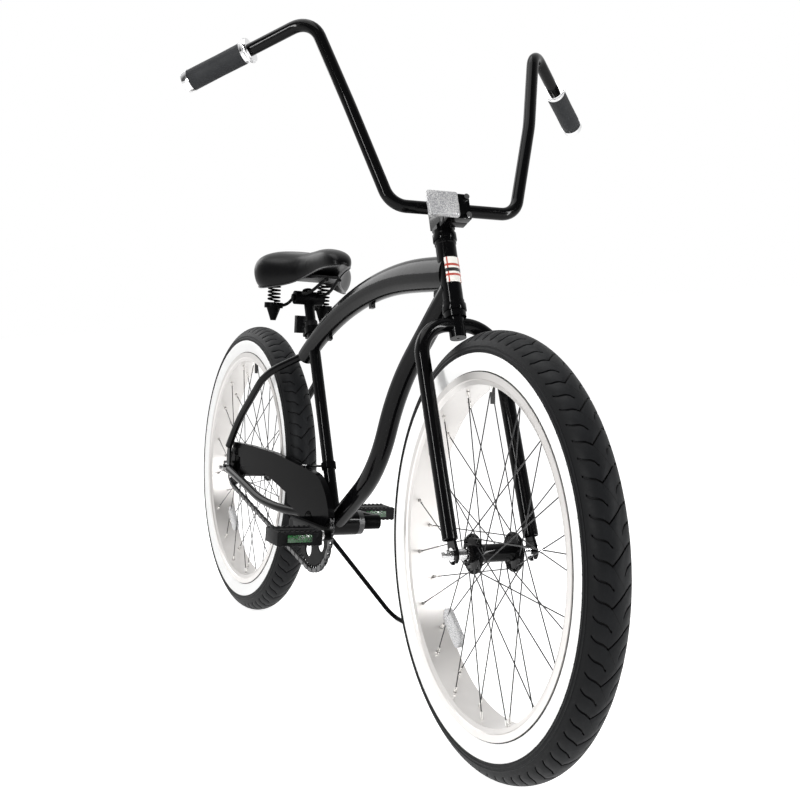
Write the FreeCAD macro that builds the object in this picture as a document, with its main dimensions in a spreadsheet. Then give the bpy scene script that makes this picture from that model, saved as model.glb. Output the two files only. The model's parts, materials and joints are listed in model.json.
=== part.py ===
import FreeCAD, Part
import math
import os

import Sketcher
from FreeCAD import Placement, Rotation, Vector

# Beach cruiser bicycle, millimetres.
# Bicycle axes: X forward, Y to the rider's left, Z up, origin on the ground under the rear axle.
# At the end the upright bicycle is leaned onto its kickstand and its box is centred over the origin.

doc = FreeCAD.newDocument("beach_cruiser")
sheet = doc.addObject("Spreadsheet::Sheet", "sizes")


def num(item):
    return item.value if isinstance(item, Size) else float(item)


def text_of(item):
    return item.text if isinstance(item, Size) else repr(float(item))


class Size:
    """A size with its value and the expression that binds a property to it."""

    def __init__(self, value, text):
        self.value = value
        self.text = text

    def joined(self, sign, other, value):
        return Size(value, "(%s %s %s)" % (self.text, sign, text_of(other)))

    def __add__(self, other):
        return self.joined("+", other, self.value + num(other))

    def __sub__(self, other):
        return self.joined("-", other, self.value - num(other))

    def __mul__(self, other):
        return self.joined("*", other, self.value * num(other))

    def __truediv__(self, other):
        return self.joined("/", other, self.value / num(other))

    def __radd__(self, other):
        return Size(num(other), text_of(other)) + self

    def __rsub__(self, other):
        return Size(num(other), text_of(other)) - self

    def __rmul__(self, other):
        return Size(num(other), text_of(other)) * self

    def __neg__(self):
        return Size(-self.value, "(-1 * %s)" % self.text)


class Sizes:
    """The driving dimensions, one sheet cell and one attribute each."""

    def __init__(self):
        self.rows = 0

    def add(self, **values):
        for name, value in values.items():
            self.rows += 1
            sheet.set("A%d" % self.rows, name)
            sheet.set("B%d" % self.rows, repr(value))
            sheet.setAlias("B%d" % self.rows, name)
            setattr(self, name, Size(float(value), "sizes." + name))


s = Sizes()

# Fits: a gap between still faces, a running fit, the overrun of a cut.
fit_gap = 0.3
running_gap = 0.05
overrun = 2.0
s.add(fit_gap=fit_gap, running_gap=running_gap, overrun=overrun)

# Stance of the bicycle on its kickstand, degrees.
lean_angle = 7.0
steer_angle = 3.56
s.add(lean_angle=lean_angle, steer_angle=steer_angle)

# Wheels: 26 inch balloon tyres on wide rims.
rim_edge_radius = 286.0
rim_half_width = 32.5
rim_wall = 2.5
rim_step_depth = 11.0
rim_step_inset = 2.0
s.add(rim_edge_radius=rim_edge_radius, rim_half_width=rim_half_width, rim_wall=rim_wall,
      rim_step_depth=rim_step_depth, rim_step_inset=rim_step_inset)
rim_depth = 20.0
rim_bed_half_width = 28.0
rim_bed = 3.0
s.add(rim_depth=rim_depth, rim_bed_half_width=rim_bed_half_width, rim_bed=rim_bed)
tyre_rise = 31.2
tyre_section_radius = 34.8
tyre_wall = 4.0
tyre_bead_depth = 8.0
tyre_seat_rise = 1.5
s.add(tyre_rise=tyre_rise, tyre_section_radius=tyre_section_radius, tyre_wall=tyre_wall,
      tyre_bead_depth=tyre_bead_depth, tyre_seat_rise=tyre_seat_rise)
inner_tube_wall = 1.5
valve_radius = 4.0
valve_length = 52.0
s.add(inner_tube_wall=inner_tube_wall, valve_radius=valve_radius, valve_length=valve_length)
spoke_count = 36
spoke_cross = 3
spoke_radius = 1.0
spoke_outer_row = 14.0
spoke_inner_row = 10.0
s.add(spoke_count=spoke_count, spoke_cross=spoke_cross, spoke_radius=spoke_radius, spoke_outer_row=spoke_outer_row,
      spoke_inner_row=spoke_inner_row)
nipple_radius = 2.2
nipple_length = 13.0
nipple_hole_radius = 3.1
spoke_hole_radius = 1.5
s.add(nipple_radius=nipple_radius, nipple_length=nipple_length, nipple_hole_radius=nipple_hole_radius,
      spoke_hole_radius=spoke_hole_radius)
flange_half_spacing = 36.0
flange_thickness = 4.0
spoke_circle_inset = 4.0
s.add(flange_half_spacing=flange_half_spacing, flange_thickness=flange_thickness,
      spoke_circle_inset=spoke_circle_inset)
front_flange_radius = 32.0
front_barrel_radius = 14.5
front_hub_half_length = 48.0
s.add(front_flange_radius=front_flange_radius, front_barrel_radius=front_barrel_radius,
      front_hub_half_length=front_hub_half_length)
rear_flange_radius = 35.0
rear_barrel_radius = 23.0
rear_hub_half_length = 46.0
s.add(rear_flange_radius=rear_flange_radius, rear_barrel_radius=rear_barrel_radius,
      rear_hub_half_length=rear_hub_half_length)
axle_radius = 5.0
axle_end_radius = 4.76
axle_end_length = 8.0
hub_wall = 4.0
hub_ball_radius = 2.5
hub_ball_count = 9
s.add(axle_radius=axle_radius, axle_end_radius=axle_end_radius, axle_end_length=axle_end_length, hub_wall=hub_wall,
      hub_ball_radius=hub_ball_radius, hub_ball_count=hub_ball_count)
hub_spacing = 135.0
washer_radius = 11.0
washer_thickness = 2.0
nut_across = 15.0
nut_height = 10.0
s.add(hub_spacing=hub_spacing, washer_radius=washer_radius, washer_thickness=washer_thickness,
      nut_across=nut_across, nut_height=nut_height)
cone_radius = 9.0
lock_nut_radius = 8.5
lock_nut_height = 5.0
s.add(cone_radius=cone_radius, lock_nut_radius=lock_nut_radius, lock_nut_height=lock_nut_height)
reflector_length = 76.0
reflector_width = 30.0
reflector_thickness = 8.0
reflector_radius = 178.0
s.add(reflector_length=reflector_length, reflector_width=reflector_width, reflector_thickness=reflector_thickness,
      reflector_radius=reflector_radius)
reflector_level = 15.0
reflector_angle = 54.5
s.add(reflector_level=reflector_level, reflector_angle=reflector_angle)

# Frame geometry.
wheelbase = 1165.0
bracket_drop = 55.0
head_angle = 68.5
fork_rake = 20.0
seat_angle = 65.2
s.add(wheelbase=wheelbase, bracket_drop=bracket_drop, head_angle=head_angle, fork_rake=fork_rake,
      seat_angle=seat_angle)
head_tube_low = 430.0
head_tube_length = 120.0
head_tube_radius = 18.0
head_tube_wall = 2.0
s.add(head_tube_low=head_tube_low, head_tube_length=head_tube_length, head_tube_radius=head_tube_radius,
      head_tube_wall=head_tube_wall)
cup_radius = 21.0
cup_height = 12.0
cup_insert_depth = 9.0
head_ball_radius = 2.4
head_ball_count = 16
s.add(cup_radius=cup_radius, cup_height=cup_height, cup_insert_depth=cup_insert_depth,
      head_ball_radius=head_ball_radius, head_ball_count=head_ball_count)
tube_wall = 1.6
s.add(tube_wall=tube_wall)
top_tube_joint = 60.0
top_tube_straight = 106.0
top_tube_bend = 1000.0
top_tube_tail = 50.0
s.add(top_tube_joint=top_tube_joint, top_tube_straight=top_tube_straight, top_tube_bend=top_tube_bend,
      top_tube_tail=top_tube_tail)
top_tube_head_height = 62.0
top_tube_head_width = 42.0
top_tube_seat_height = 39.0
top_tube_seat_width = 38.0
s.add(top_tube_head_height=top_tube_head_height, top_tube_head_width=top_tube_head_width,
      top_tube_seat_height=top_tube_seat_height, top_tube_seat_width=top_tube_seat_width)
guide_length = 11.0
guide_width = 9.0
guide_height = 9.0
s.add(guide_length=guide_length, guide_width=guide_width, guide_height=guide_height)
down_tube_joint = 32.0
down_tube_radius = 19.5
s.add(down_tube_joint=down_tube_joint, down_tube_radius=down_tube_radius)
seat_tube_radius = 12.7
seat_tube_bore = 11.2
seat_tube_length = 447.0
s.add(seat_tube_radius=seat_tube_radius, seat_tube_bore=seat_tube_bore, seat_tube_length=seat_tube_length)
shell_radius = 26.0
shell_half_width = 44.0
shell_wall = 4.0
s.add(shell_radius=shell_radius, shell_half_width=shell_half_width, shell_wall=shell_wall)
chain_stay_radius = 9.5
seat_stay_radius = 8.5
stay_spread = 72.0
s.add(chain_stay_radius=chain_stay_radius, seat_stay_radius=seat_stay_radius, stay_spread=stay_spread)
dropout_thickness = 5.0
dropout_radius = 16.0
s.add(dropout_thickness=dropout_thickness, dropout_radius=dropout_radius)
clamp_band = 4.0
clamp_height = 14.0
clamp_ear = 15.0
s.add(clamp_band=clamp_band, clamp_height=clamp_height, clamp_ear=clamp_ear)

# Drive: one chainring, a back-pedal hub, the chain length sets the chain stays.
chain_pitch = 12.7
chain_links = 120
ring_teeth = 48
sprocket_teeth = 24
chain_line = 50.0
roller_radius = 3.9
s.add(chain_pitch=chain_pitch, chain_links=chain_links, ring_teeth=ring_teeth, sprocket_teeth=sprocket_teeth,
      chain_line=chain_line, roller_radius=roller_radius)
ring_thickness = 3.0
link_plate_thickness = 1.1
link_inner_gap = 3.6
link_height = 8.4
pin_radius = 1.8
s.add(ring_thickness=ring_thickness, link_plate_thickness=link_plate_thickness, link_inner_gap=link_inner_gap,
      link_height=link_height, pin_radius=pin_radius)
spindle_radius = 9.0
crank_length = 170.0
crank_thickness = 13.0
crank_boss_radius = 15.0
crank_eye_radius = 11.5
s.add(spindle_radius=spindle_radius, crank_length=crank_length, crank_thickness=crank_thickness,
      crank_boss_radius=crank_boss_radius, crank_eye_radius=crank_eye_radius)
crank_face = 98.0
cup_flange_thickness = 3.0
lock_ring_thickness = 9.0
bracket_ball_radius = 3.0
s.add(crank_face=crank_face, cup_flange_thickness=cup_flange_thickness, lock_ring_thickness=lock_ring_thickness,
      bracket_ball_radius=bracket_ball_radius)
bracket_ball_count = 11
ring_boss_radius = 19.0
driver_radius = 17.0
s.add(bracket_ball_count=bracket_ball_count, ring_boss_radius=ring_boss_radius, driver_radius=driver_radius)
guard_face = 61.0
guard_thickness = 1.8
guard_radius = 108.0
guard_lip_width = 13.0
guard_end_radius = 15.0
s.add(guard_face=guard_face, guard_thickness=guard_thickness, guard_radius=guard_radius,
      guard_lip_width=guard_lip_width, guard_end_radius=guard_end_radius)
guard_front_angle = 15.0
guard_notch_angle = 10.0
s.add(guard_front_angle=guard_front_angle, guard_notch_angle=guard_notch_angle)
guard_top = 420.0
guard_screw_forward = 20.0
guard_screw_height = 402.0
screw_radius = 2.5
screw_head_radius = 5.0
s.add(guard_top=guard_top, guard_screw_forward=guard_screw_forward, guard_screw_height=guard_screw_height,
      screw_radius=screw_radius, screw_head_radius=screw_head_radius)
pedal_inner = 113.0
pedal_outer = 203.0
pedal_length = 66.0
pedal_height = 26.0
pedal_spindle_radius = 6.0
s.add(pedal_inner=pedal_inner, pedal_outer=pedal_outer, pedal_length=pedal_length, pedal_height=pedal_height,
      pedal_spindle_radius=pedal_spindle_radius)
ring_arms = 5
ring_window_radius = 17.0
crank_angle = 2.0
spindle_bolt_depth = 8.0
s.add(ring_arms=ring_arms, ring_window_radius=ring_window_radius, crank_angle=crank_angle,
      spindle_bolt_depth=spindle_bolt_depth)
hub_cavity_radius = 19.0
shoe_half_length = 24.0
brake_arm_thickness = 3.0
brake_strap_share = 0.5
s.add(hub_cavity_radius=hub_cavity_radius, shoe_half_length=shoe_half_length,
      brake_arm_thickness=brake_arm_thickness, brake_strap_share=brake_strap_share)
pedal_bar = 7.0
pedal_reflector_width = 50.0
pedal_reflector_height = 15.0
pedal_reflector_depth = 5.0
s.add(pedal_bar=pedal_bar, pedal_reflector_width=pedal_reflector_width,
      pedal_reflector_height=pedal_reflector_height, pedal_reflector_depth=pedal_reflector_depth)

guard_strap_height = 126.0
s.add(guard_strap_height=guard_strap_height)

# Kickstand.
stand_pivot_back = 178.0
stand_pivot_left = 40.0
stand_pivot_drop = 34.0
stand_heel_back = 214.0
s.add(stand_pivot_back=stand_pivot_back, stand_pivot_left=stand_pivot_left, stand_pivot_drop=stand_pivot_drop,
      stand_heel_back=stand_heel_back)
stand_bracket_back = 50.0
stand_arm_left = 28.0
stand_arm_width = 26.0
stand_arm_thickness = 8.0
s.add(stand_bracket_back=stand_bracket_back, stand_arm_left=stand_arm_left, stand_arm_width=stand_arm_width,
      stand_arm_thickness=stand_arm_thickness)
stand_heel_left = 250.0
stand_rod_radius = 5.0
stand_foot_length = 60.0
stand_bend = 28.0
s.add(stand_heel_left=stand_heel_left, stand_rod_radius=stand_rod_radius, stand_foot_length=stand_foot_length,
      stand_bend=stand_bend)
stand_plate_length = 40.0
stand_plate_thickness = 5.0
stand_eye_radius = 9.0
stand_eye_length = 15.0
s.add(stand_plate_length=stand_plate_length, stand_plate_thickness=stand_plate_thickness,
      stand_eye_radius=stand_eye_radius, stand_eye_length=stand_eye_length)
stand_pin_radius = 4.0
s.add(stand_pin_radius=stand_pin_radius)

# Fork, stem and handlebar, heights along the steering axis.
steerer_radius = 14.3
quill_radius = 11.1
crown_height = 394.0
fork_leg_radius = 12.7
fork_spread = 72.0
s.add(steerer_radius=steerer_radius, quill_radius=quill_radius, crown_height=crown_height,
      fork_leg_radius=fork_leg_radius, fork_spread=fork_spread)
fork_bend = 58.0
fork_end_gap = 24.0
fork_plug = 24.0
race_radius = 19.0
lock_height = 7.0
s.add(fork_bend=fork_bend, fork_end_gap=fork_end_gap, fork_plug=fork_plug, race_radius=race_radius,
      lock_height=lock_height)
bar_height = 585.0
bar_reach = 49.5
bar_radius = 11.1
bar_low_half_width = 117.5
bar_kink_half_width = 173.0
s.add(bar_height=bar_height, bar_reach=bar_reach, bar_radius=bar_radius, bar_low_half_width=bar_low_half_width,
      bar_kink_half_width=bar_kink_half_width)
bar_kink_rise = 180.0
bar_kink_forward = 4.5
bar_top_half_width = 219.0
bar_top_rise = 355.0
bar_top_back = 9.5
s.add(bar_kink_rise=bar_kink_rise, bar_kink_forward=bar_kink_forward, bar_top_half_width=bar_top_half_width,
      bar_top_rise=bar_top_rise, bar_top_back=bar_top_back)
bar_end_half_width = 394.0
bar_end_rise = 317.0
bar_end_back = 179.5
bar_low_bend = 38.0
bar_kink_bend = 250.0
s.add(bar_end_half_width=bar_end_half_width, bar_end_rise=bar_end_rise, bar_end_back=bar_end_back,
      bar_low_bend=bar_low_bend, bar_kink_bend=bar_kink_bend)
bar_top_bend = 42.0
s.add(bar_top_bend=bar_top_bend)
stem_width = 44.0
stem_height = 46.0
stem_depth = 17.0
faceplate_depth = 16.0
stem_bolt_spread = 16.0
s.add(stem_width=stem_width, stem_height=stem_height, stem_depth=stem_depth, faceplate_depth=faceplate_depth,
      stem_bolt_spread=stem_bolt_spread)
stem_bolt_rise = 17.0
stem_bolt_radius = 2.5
quill_depth = 95.0
stem_neck_width = 34.0
stem_split = 1.6
s.add(stem_bolt_rise=stem_bolt_rise, stem_bolt_radius=stem_bolt_radius, quill_depth=quill_depth,
      stem_neck_width=stem_neck_width, stem_split=stem_split)
grip_radius = 19.0
grip_length = 118.0
grip_waist = 1.2
grip_ribs = 9
collar_radius = 23.5
collar_width = 6.0
s.add(grip_radius=grip_radius, grip_length=grip_length, grip_waist=grip_waist, grip_ribs=grip_ribs,
      collar_radius=collar_radius, collar_width=collar_width)
end_cap_radius = 19.8
end_cap_length = 14.0
s.add(end_cap_radius=end_cap_radius, end_cap_length=end_cap_length)
front_lens_width = 57.0
front_lens_height = 46.0
front_lens_depth = 11.0
front_lens_side = 37.0
s.add(front_lens_width=front_lens_width, front_lens_height=front_lens_height, front_lens_depth=front_lens_depth,
      front_lens_side=front_lens_side)
front_lens_forward = 32.0
lens_band = 3.0
lens_band_width = 12.0
s.add(front_lens_forward=front_lens_forward, lens_band=lens_band, lens_band_width=lens_band_width)
badge_width = 28.0
badge_height = 46.0
badge_thickness = 1.5
s.add(badge_width=badge_width, badge_height=badge_height, badge_thickness=badge_thickness)

# Saddle on its post.
post_radius = 11.1
post_top = 540.0
post_insert = 110.0
post_crown = 5.0
s.add(post_radius=post_radius, post_top=post_top, post_insert=post_insert, post_crown=post_crown)
saddle_rear = 82.0
saddle_nose = 208.0
saddle_half_width = 117.0
saddle_height = 571.0
saddle_thickness = 78.0
s.add(saddle_rear=saddle_rear, saddle_nose=saddle_nose, saddle_half_width=saddle_half_width,
      saddle_height=saddle_height, saddle_thickness=saddle_thickness)
saddle_base_thickness = 6.0
saddle_wall = 9.0
rail_radius = 3.5
rail_half_spread = 22.0
rail_front = 140.0
s.add(saddle_base_thickness=saddle_base_thickness, saddle_wall=saddle_wall, rail_radius=rail_radius,
      rail_half_spread=rail_half_spread, rail_front=rail_front)
saddle_clamp_radius = 15.0
saddle_clamp_half_width = 33.0
s.add(saddle_clamp_radius=saddle_clamp_radius, saddle_clamp_half_width=saddle_clamp_half_width)
spring_back = 50.0
spring_side = 60.0
spring_radius = 13.0
spring_wire = 2.0
spring_turns = 6
s.add(spring_back=spring_back, spring_side=spring_side, spring_radius=spring_radius, spring_wire=spring_wire,
      spring_turns=spring_turns)
spring_pitch = 8.0
spring_seat_radius = 21.0
spring_seat_height = 12.0
spring_cone_height = 28.0
s.add(spring_pitch=spring_pitch, spring_seat_radius=spring_seat_radius, spring_seat_height=spring_seat_height,
      spring_cone_height=spring_cone_height)
spring_cone_tip = 6.0
s.add(spring_cone_tip=spring_cone_tip)
rear_lens_width = 40.0
rear_lens_height = 39.0
rear_lens_depth = 15.0
rear_lens_back = 46.0
rear_lens_level = 455.0
s.add(rear_lens_width=rear_lens_width, rear_lens_height=rear_lens_height, rear_lens_depth=rear_lens_depth,
      rear_lens_back=rear_lens_back, rear_lens_level=rear_lens_level)

doc.recompute()


def vec(x, y, z):
    return Vector(num(x), num(y), num(z))


def radians(size):
    return math.radians(size.value)


# Derived geometry of the upright bicycle.
wheel_radius = s.rim_edge_radius + s.tyre_rise + s.tyre_section_radius
axle_height = wheel_radius
tyre_ring_radius = s.rim_edge_radius + s.tyre_rise
rim_bed_radius = s.rim_edge_radius - s.rim_depth
hub_face = s.hub_spacing / 2
rear_axle_point = vec(0, 0, axle_height)
front_axle_point = vec(s.wheelbase, 0, axle_height)
side_axis = Vector(0, 1, 0)
up_axis = Vector(0, 0, 1)
forward_axis = Vector(1, 0, 0)


def pitch_radius(teeth):
    return s.chain_pitch.value / (2 * math.sin(math.pi / teeth.value))


ring_pitch_radius = pitch_radius(s.ring_teeth)
sprocket_pitch_radius = pitch_radius(s.sprocket_teeth)


def chain_centre_distance():
    """Distance between the axes that the chain's whole number of links asks for."""
    difference = ring_pitch_radius - sprocket_pitch_radius
    centres = s.chain_pitch.value * s.chain_links.value / 4
    for _ in range(50):
        lean = math.asin(difference / centres)
        wrapped = s.ring_teeth.value * (math.pi + 2 * lean) + s.sprocket_teeth.value * (math.pi - 2 * lean)
        straight = s.chain_pitch.value * (s.chain_links.value - wrapped / (2 * math.pi)) / 2
        centres = math.hypot(straight, difference)
    return centres


chain_centres = chain_centre_distance()
bracket_forward = math.sqrt(chain_centres ** 2 - s.bracket_drop.value ** 2)
bracket_point = Vector(bracket_forward, 0, axle_height.value - s.bracket_drop.value)

steer_axis = Vector(-math.cos(radians(s.head_angle)), 0, math.sin(radians(s.head_angle)))
steer_forward = side_axis.cross(steer_axis)
steer_origin = front_axle_point - steer_forward * s.fork_rake.value
steer_frame = Placement(steer_origin, Rotation(steer_forward, side_axis, steer_axis, "ZXY"))
seat_axis = Vector(-math.cos(radians(s.seat_angle)), 0, math.sin(radians(s.seat_angle)))
seat_forward = side_axis.cross(seat_axis)
seat_frame = Placement(bracket_point, Rotation(seat_forward, side_axis, seat_axis, "ZXY"))


def on_steer(forward, side, height):
    return steer_frame.multVec(vec(forward, side, height))


def on_seat(forward, side, height):
    return seat_frame.multVec(vec(forward, side, height))


# Nodes: label, document object, placement in the upright bicycle, and whether it turns with the bars.
nodes = []


def add_node(label, item, place=None, steered=False):
    item.Label = label
    nodes.append((label, item, (place or Placement()).multiply(item.Placement), steered))


def new_name(stem):
    return "%s_%d" % (stem, len(doc.Objects))


def bind(item, **properties):
    for name, size in properties.items():
        if isinstance(size, Size):
            item.setExpression(name, size.text)
        else:
            setattr(item, name, size)
    return item


# Sketches: an outline is a list of (across, along) corners; a corner may carry the radius of the
# arc that leads to it, positive when the arc turns left.

def origin_plane(body, role):
    return [feature for feature in body.Origin.OriginFeatures if feature.Role == role][0]


def new_sketch(body, role):
    sketch = body.newObject("Sketcher::SketchObject", new_name("sketch"))
    sketch.AttachmentSupport = [(origin_plane(body, role), "")]
    sketch.MapMode = "FlatFace"
    return sketch


def pin_point(sketch, geometry, end, corner):
    for kind, axis, size in (("DistanceX", -2, corner[0]), ("DistanceY", -1, corner[1])):
        if num(size) == 0:
            sketch.addConstraint(Sketcher.Constraint("PointOnObject", geometry, end, axis))
            continue
        index = sketch.addConstraint(Sketcher.Constraint(kind, -1, 1, geometry, end, num(size)))
        if isinstance(size, Size):
            sketch.setExpression("Constraints[%d]" % index, size.text)


def arc_between(start, stop, radius):
    """The arc of under half a circle from start to stop, and which of its ends is start."""
    chord = stop - start
    half = chord.Length / 2
    rise = math.sqrt(max(radius ** 2 - half ** 2, 0))
    normal = Vector(-chord.y, chord.x, 0).normalize()
    centre = (start + stop) / 2 + normal * math.copysign(rise, radius)
    first, last = (start, stop) if radius > 0 else (stop, start)
    angles = [math.atan2(point.y - centre.y, point.x - centre.x) for point in (first, last)]
    arc = Part.ArcOfCircle(Part.Circle(centre, up_axis, abs(radius)), angles[0], angles[1])
    return arc, (1, 2) if radius > 0 else (2, 1)


def draw_outline(sketch, corners):
    points = [Vector(num(corner[0]), num(corner[1]), 0) for corner in corners]
    ends = []
    for index, corner in enumerate(corners):
        following = corners[(index + 1) % len(corners)]
        start = points[index]
        stop = points[(index + 1) % len(corners)]
        if len(following) == 3:
            arc, order = arc_between(start, stop, num(following[2]))
            geometry = sketch.addGeometry(arc, False)
        else:
            geometry = sketch.addGeometry(Part.LineSegment(start, stop), False)
            order = (1, 2)
        ends.append((geometry, order))
    for index, (geometry, order) in enumerate(ends):
        following, following_order = ends[(index + 1) % len(ends)]
        sketch.addConstraint(Sketcher.Constraint("Coincident", geometry, order[1], following, following_order[0]))
        pin_point(sketch, geometry, order[0], corners[index])
    for index, corner in enumerate(corners):
        if len(corner) == 3:
            geometry = ends[index - 1][0]
            size = corner[2]
            constraint = Sketcher.Constraint("Radius", geometry, abs(num(size)))
            number = sketch.addConstraint(constraint)
            if isinstance(size, Size):
                sketch.setExpression("Constraints[%d]" % number, "abs(%s)" % size.text)
    return sketch


def draw_circle(sketch, across, along, radius):
    centre = Vector(num(across), num(along), 0)
    geometry = sketch.addGeometry(Part.Circle(centre, up_axis, num(radius)), False)
    pin_point(sketch, geometry, 3, (across, along))
    number = sketch.addConstraint(Sketcher.Constraint("Radius", geometry, num(radius)))
    if isinstance(radius, Size):
        sketch.setExpression("Constraints[%d]" % number, radius.text)


def turned(corners):
    """A body turned about its own Y axis from an outline of (radius, along) corners."""
    body = doc.addObject("PartDesign::Body", new_name("body"))
    sketch = draw_outline(new_sketch(body, "XY_Plane"), corners)
    turn = body.newObject("PartDesign::Revolution", new_name("turn"))
    turn.Profile = (sketch, [""])
    turn.ReferenceAxis = (sketch, ["V_Axis"])
    turn.Angle = 360
    return body


def ring(outer, inner, low, high):
    return turned([(inner, low), (outer, low), (outer, high), (inner, high)])


def plate(corners, thickness, holes=()):
    """A flat body in its own XZ plane, centred on it, with round holes."""
    body = doc.addObject("PartDesign::Body", new_name("body"))
    sketch = draw_outline(new_sketch(body, "XZ_Plane"), corners)
    for across, along, radius in holes:
        draw_circle(sketch, across, along, radius)
    pad = body.newObject("PartDesign::Pad", new_name("pad"))
    pad.Profile = (sketch, [""])
    pad.SideType = "Symmetric"
    bind(pad, Length=thickness)
    return body


def pocket_holes(body, role, circles, count, axis_role):
    """Cut round holes right through a body and repeat them about one of its axes."""
    sketch = new_sketch(body, role)
    for across, along, radius in circles:
        draw_circle(sketch, across, along, radius)
    cut = body.newObject("PartDesign::Pocket", new_name("cut"))
    cut.Profile = (sketch, [""])
    cut.Type = "ThroughAll"
    cut.SideType = "Symmetric"
    pattern = body.newObject("PartDesign::PolarPattern", new_name("pattern"))
    pattern.Originals = [cut]
    pattern.Axis = (origin_plane(body, axis_role), [""])
    pattern.Angle = 360
    bind(pattern, Occurrences=count)
    body.Tip = pattern
    return body


# Part primitives, placed in the bicycle frame.

def along(start, direction):
    return Placement(start, Rotation(up_axis, direction))


def rod(radius, length, start, direction):
    item = doc.addObject("Part::Cylinder", new_name("rod"))
    bind(item, Radius=radius, Height=length)
    item.Placement = along(start, direction)
    return item


def block(length, width, height, place):
    """A box centred on the place's origin."""
    item = doc.addObject("Part::Box", new_name("block"))
    bind(item, Length=length, Width=width, Height=height)
    corner = Vector(-num(length) / 2, -num(width) / 2, -num(height) / 2)
    item.Placement = place.multiply(Placement(corner, Rotation()))
    return item


def cut(base, *tools):
    for tool in tools:
        result = doc.addObject("Part::Cut", new_name("cut"))
        result.Base = base
        result.Tool = tool
        base = result
    return base


def fuse(*items):
    result = doc.addObject("Part::MultiFuse", new_name("fuse"))
    result.Shapes = list(items)
    return result


def group(*items):
    result = doc.addObject("Part::Compound", new_name("group"))
    result.Links = list(items)
    return result


def shaped(shape):
    """A document object whose shape is worked out here from the sheet's sizes."""
    item = doc.addObject("Part::Feature", new_name("shape"))
    item.Shape = shape
    return item


def placed(item, place):
    item.Placement = place
    return item


def rounded_edges(points, bends):
    """Edges along a polyline whose inner corners are rounded by the given radii."""
    edges = []
    start = points[0]
    for index, bend in enumerate(bends):
        corner = points[index + 1]
        back = (points[index] - corner).normalize()
        ahead = (points[index + 2] - corner).normalize()
        half = back.getAngle(ahead) / 2
        reach = num(bend) / math.tan(half)
        first = corner + back * reach
        last = corner + ahead * reach
        middle_line = (back + ahead).normalize()
        middle = corner + middle_line * (num(bend) / math.sin(half) - num(bend))
        if (first - start).Length > s.running_gap.value:
            edges.append(Part.makeLine(start, first))
        edges.append(Part.Arc(first, middle, last).toShape())
        start = last
    if (points[-1] - start).Length > s.running_gap.value:
        edges.append(Part.makeLine(start, points[-1]))
    return edges


def widest_bends(points, share):
    """Bend radii that use the given share of the shorter run at each corner."""
    bends = []
    for index in range(1, len(points) - 1):
        back = points[index - 1] - points[index]
        ahead = points[index + 1] - points[index]
        half = back.getAngle(ahead) / 2
        bends.append(share * min(back.Length, ahead.Length) * math.tan(half))
    return bends


def swept(edges, radius):
    """A round bar swept along tangent edges."""
    spine = shaped(Part.Wire(edges))
    circle = doc.addObject("Part::Circle", new_name("circle"))
    bind(circle, Radius=radius)
    tangent = edges[0].tangentAt(edges[0].FirstParameter)
    circle.Placement = Placement(edges[0].valueAt(edges[0].FirstParameter), Rotation(up_axis, tangent))
    sweep = doc.addObject("Part::Sweep", new_name("sweep"))
    sweep.Sections = [circle]
    sweep.Spine = (spine, ["Edge%d" % (index + 1) for index in range(len(edges))])
    sweep.Solid = True
    return sweep


def tube(edges, radius, wall):
    return cut(swept(edges, radius), swept(edges, radius - wall))


# Wheels

def rim_body():
    outer = s.rim_edge_radius
    step = outer - s.rim_step_depth
    waist = step - s.rim_step_inset
    bed = rim_bed_radius + s.rim_bed
    half = s.rim_half_width
    inner_half = half - s.rim_wall
    bed_half = s.rim_bed_half_width - s.rim_wall
    waist_half = half - s.rim_step_inset
    corners = [
        (outer, half), (step, half), (waist, waist_half), (rim_bed_radius, s.rim_bed_half_width),
        (rim_bed_radius, -s.rim_bed_half_width), (waist, -waist_half), (step, -half), (outer, -half),
        (outer, -inner_half), (step, -inner_half), (bed, -bed_half), (bed, bed_half), (step, inner_half),
        (outer, inner_half),
    ]
    return turned(corners)


def drilled_rim(flange_radius):
    """The rim with its nipple holes in two rows and the valve hole between two spokes."""
    tools = []
    reach = s.rim_bed + s.overrun * 2
    for start, direction, *_ in spoke_lines(flange_radius):
        seat = start + direction * rim_distance(start, direction, num(rim_bed_radius - s.overrun))
        tools.append(Part.makeCylinder(num(s.nipple_hole_radius), num(reach), seat, direction))
    valve = valve_direction()
    valve_start = valve * num(rim_bed_radius - s.overrun)
    tools.append(Part.makeCylinder(num(s.valve_radius + s.fit_gap), num(reach), valve_start, valve))
    tool = shaped(Part.makeCompound(tools))
    return cut(rim_body(), tool)


def valve_direction():
    step = math.pi / s.spoke_count.value
    angle = math.pi / 2 + step
    return Vector(math.cos(angle), 0, math.sin(angle))


def tyre_body():
    seat = s.rim_edge_radius + s.tyre_seat_rise
    bead = s.rim_edge_radius - s.tyre_bead_depth
    ring_radius = tyre_ring_radius
    half = s.rim_half_width - s.rim_wall - s.fit_gap
    side = s.tyre_section_radius
    inner_half = half - s.tyre_wall
    inner_side = side - s.tyre_wall
    swell = side - half
    rise = ring_radius - seat
    flank = (rise * rise + swell * swell) / (swell * 2)
    crown = ring_radius + side
    inner_crown = ring_radius + inner_side
    corners = [
        (bead, -half), (seat, -half), (ring_radius, -side, flank), (crown, 0, side), (ring_radius, side, side),
        (seat, half, flank), (bead, half), (bead, inner_half), (seat, inner_half),
        (ring_radius, inner_side, -flank), (inner_crown, 0, -inner_side),
        (ring_radius, -inner_side, -inner_side), (seat, -inner_half, -flank), (bead, -inner_half),
    ]
    return turned(corners)


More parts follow.
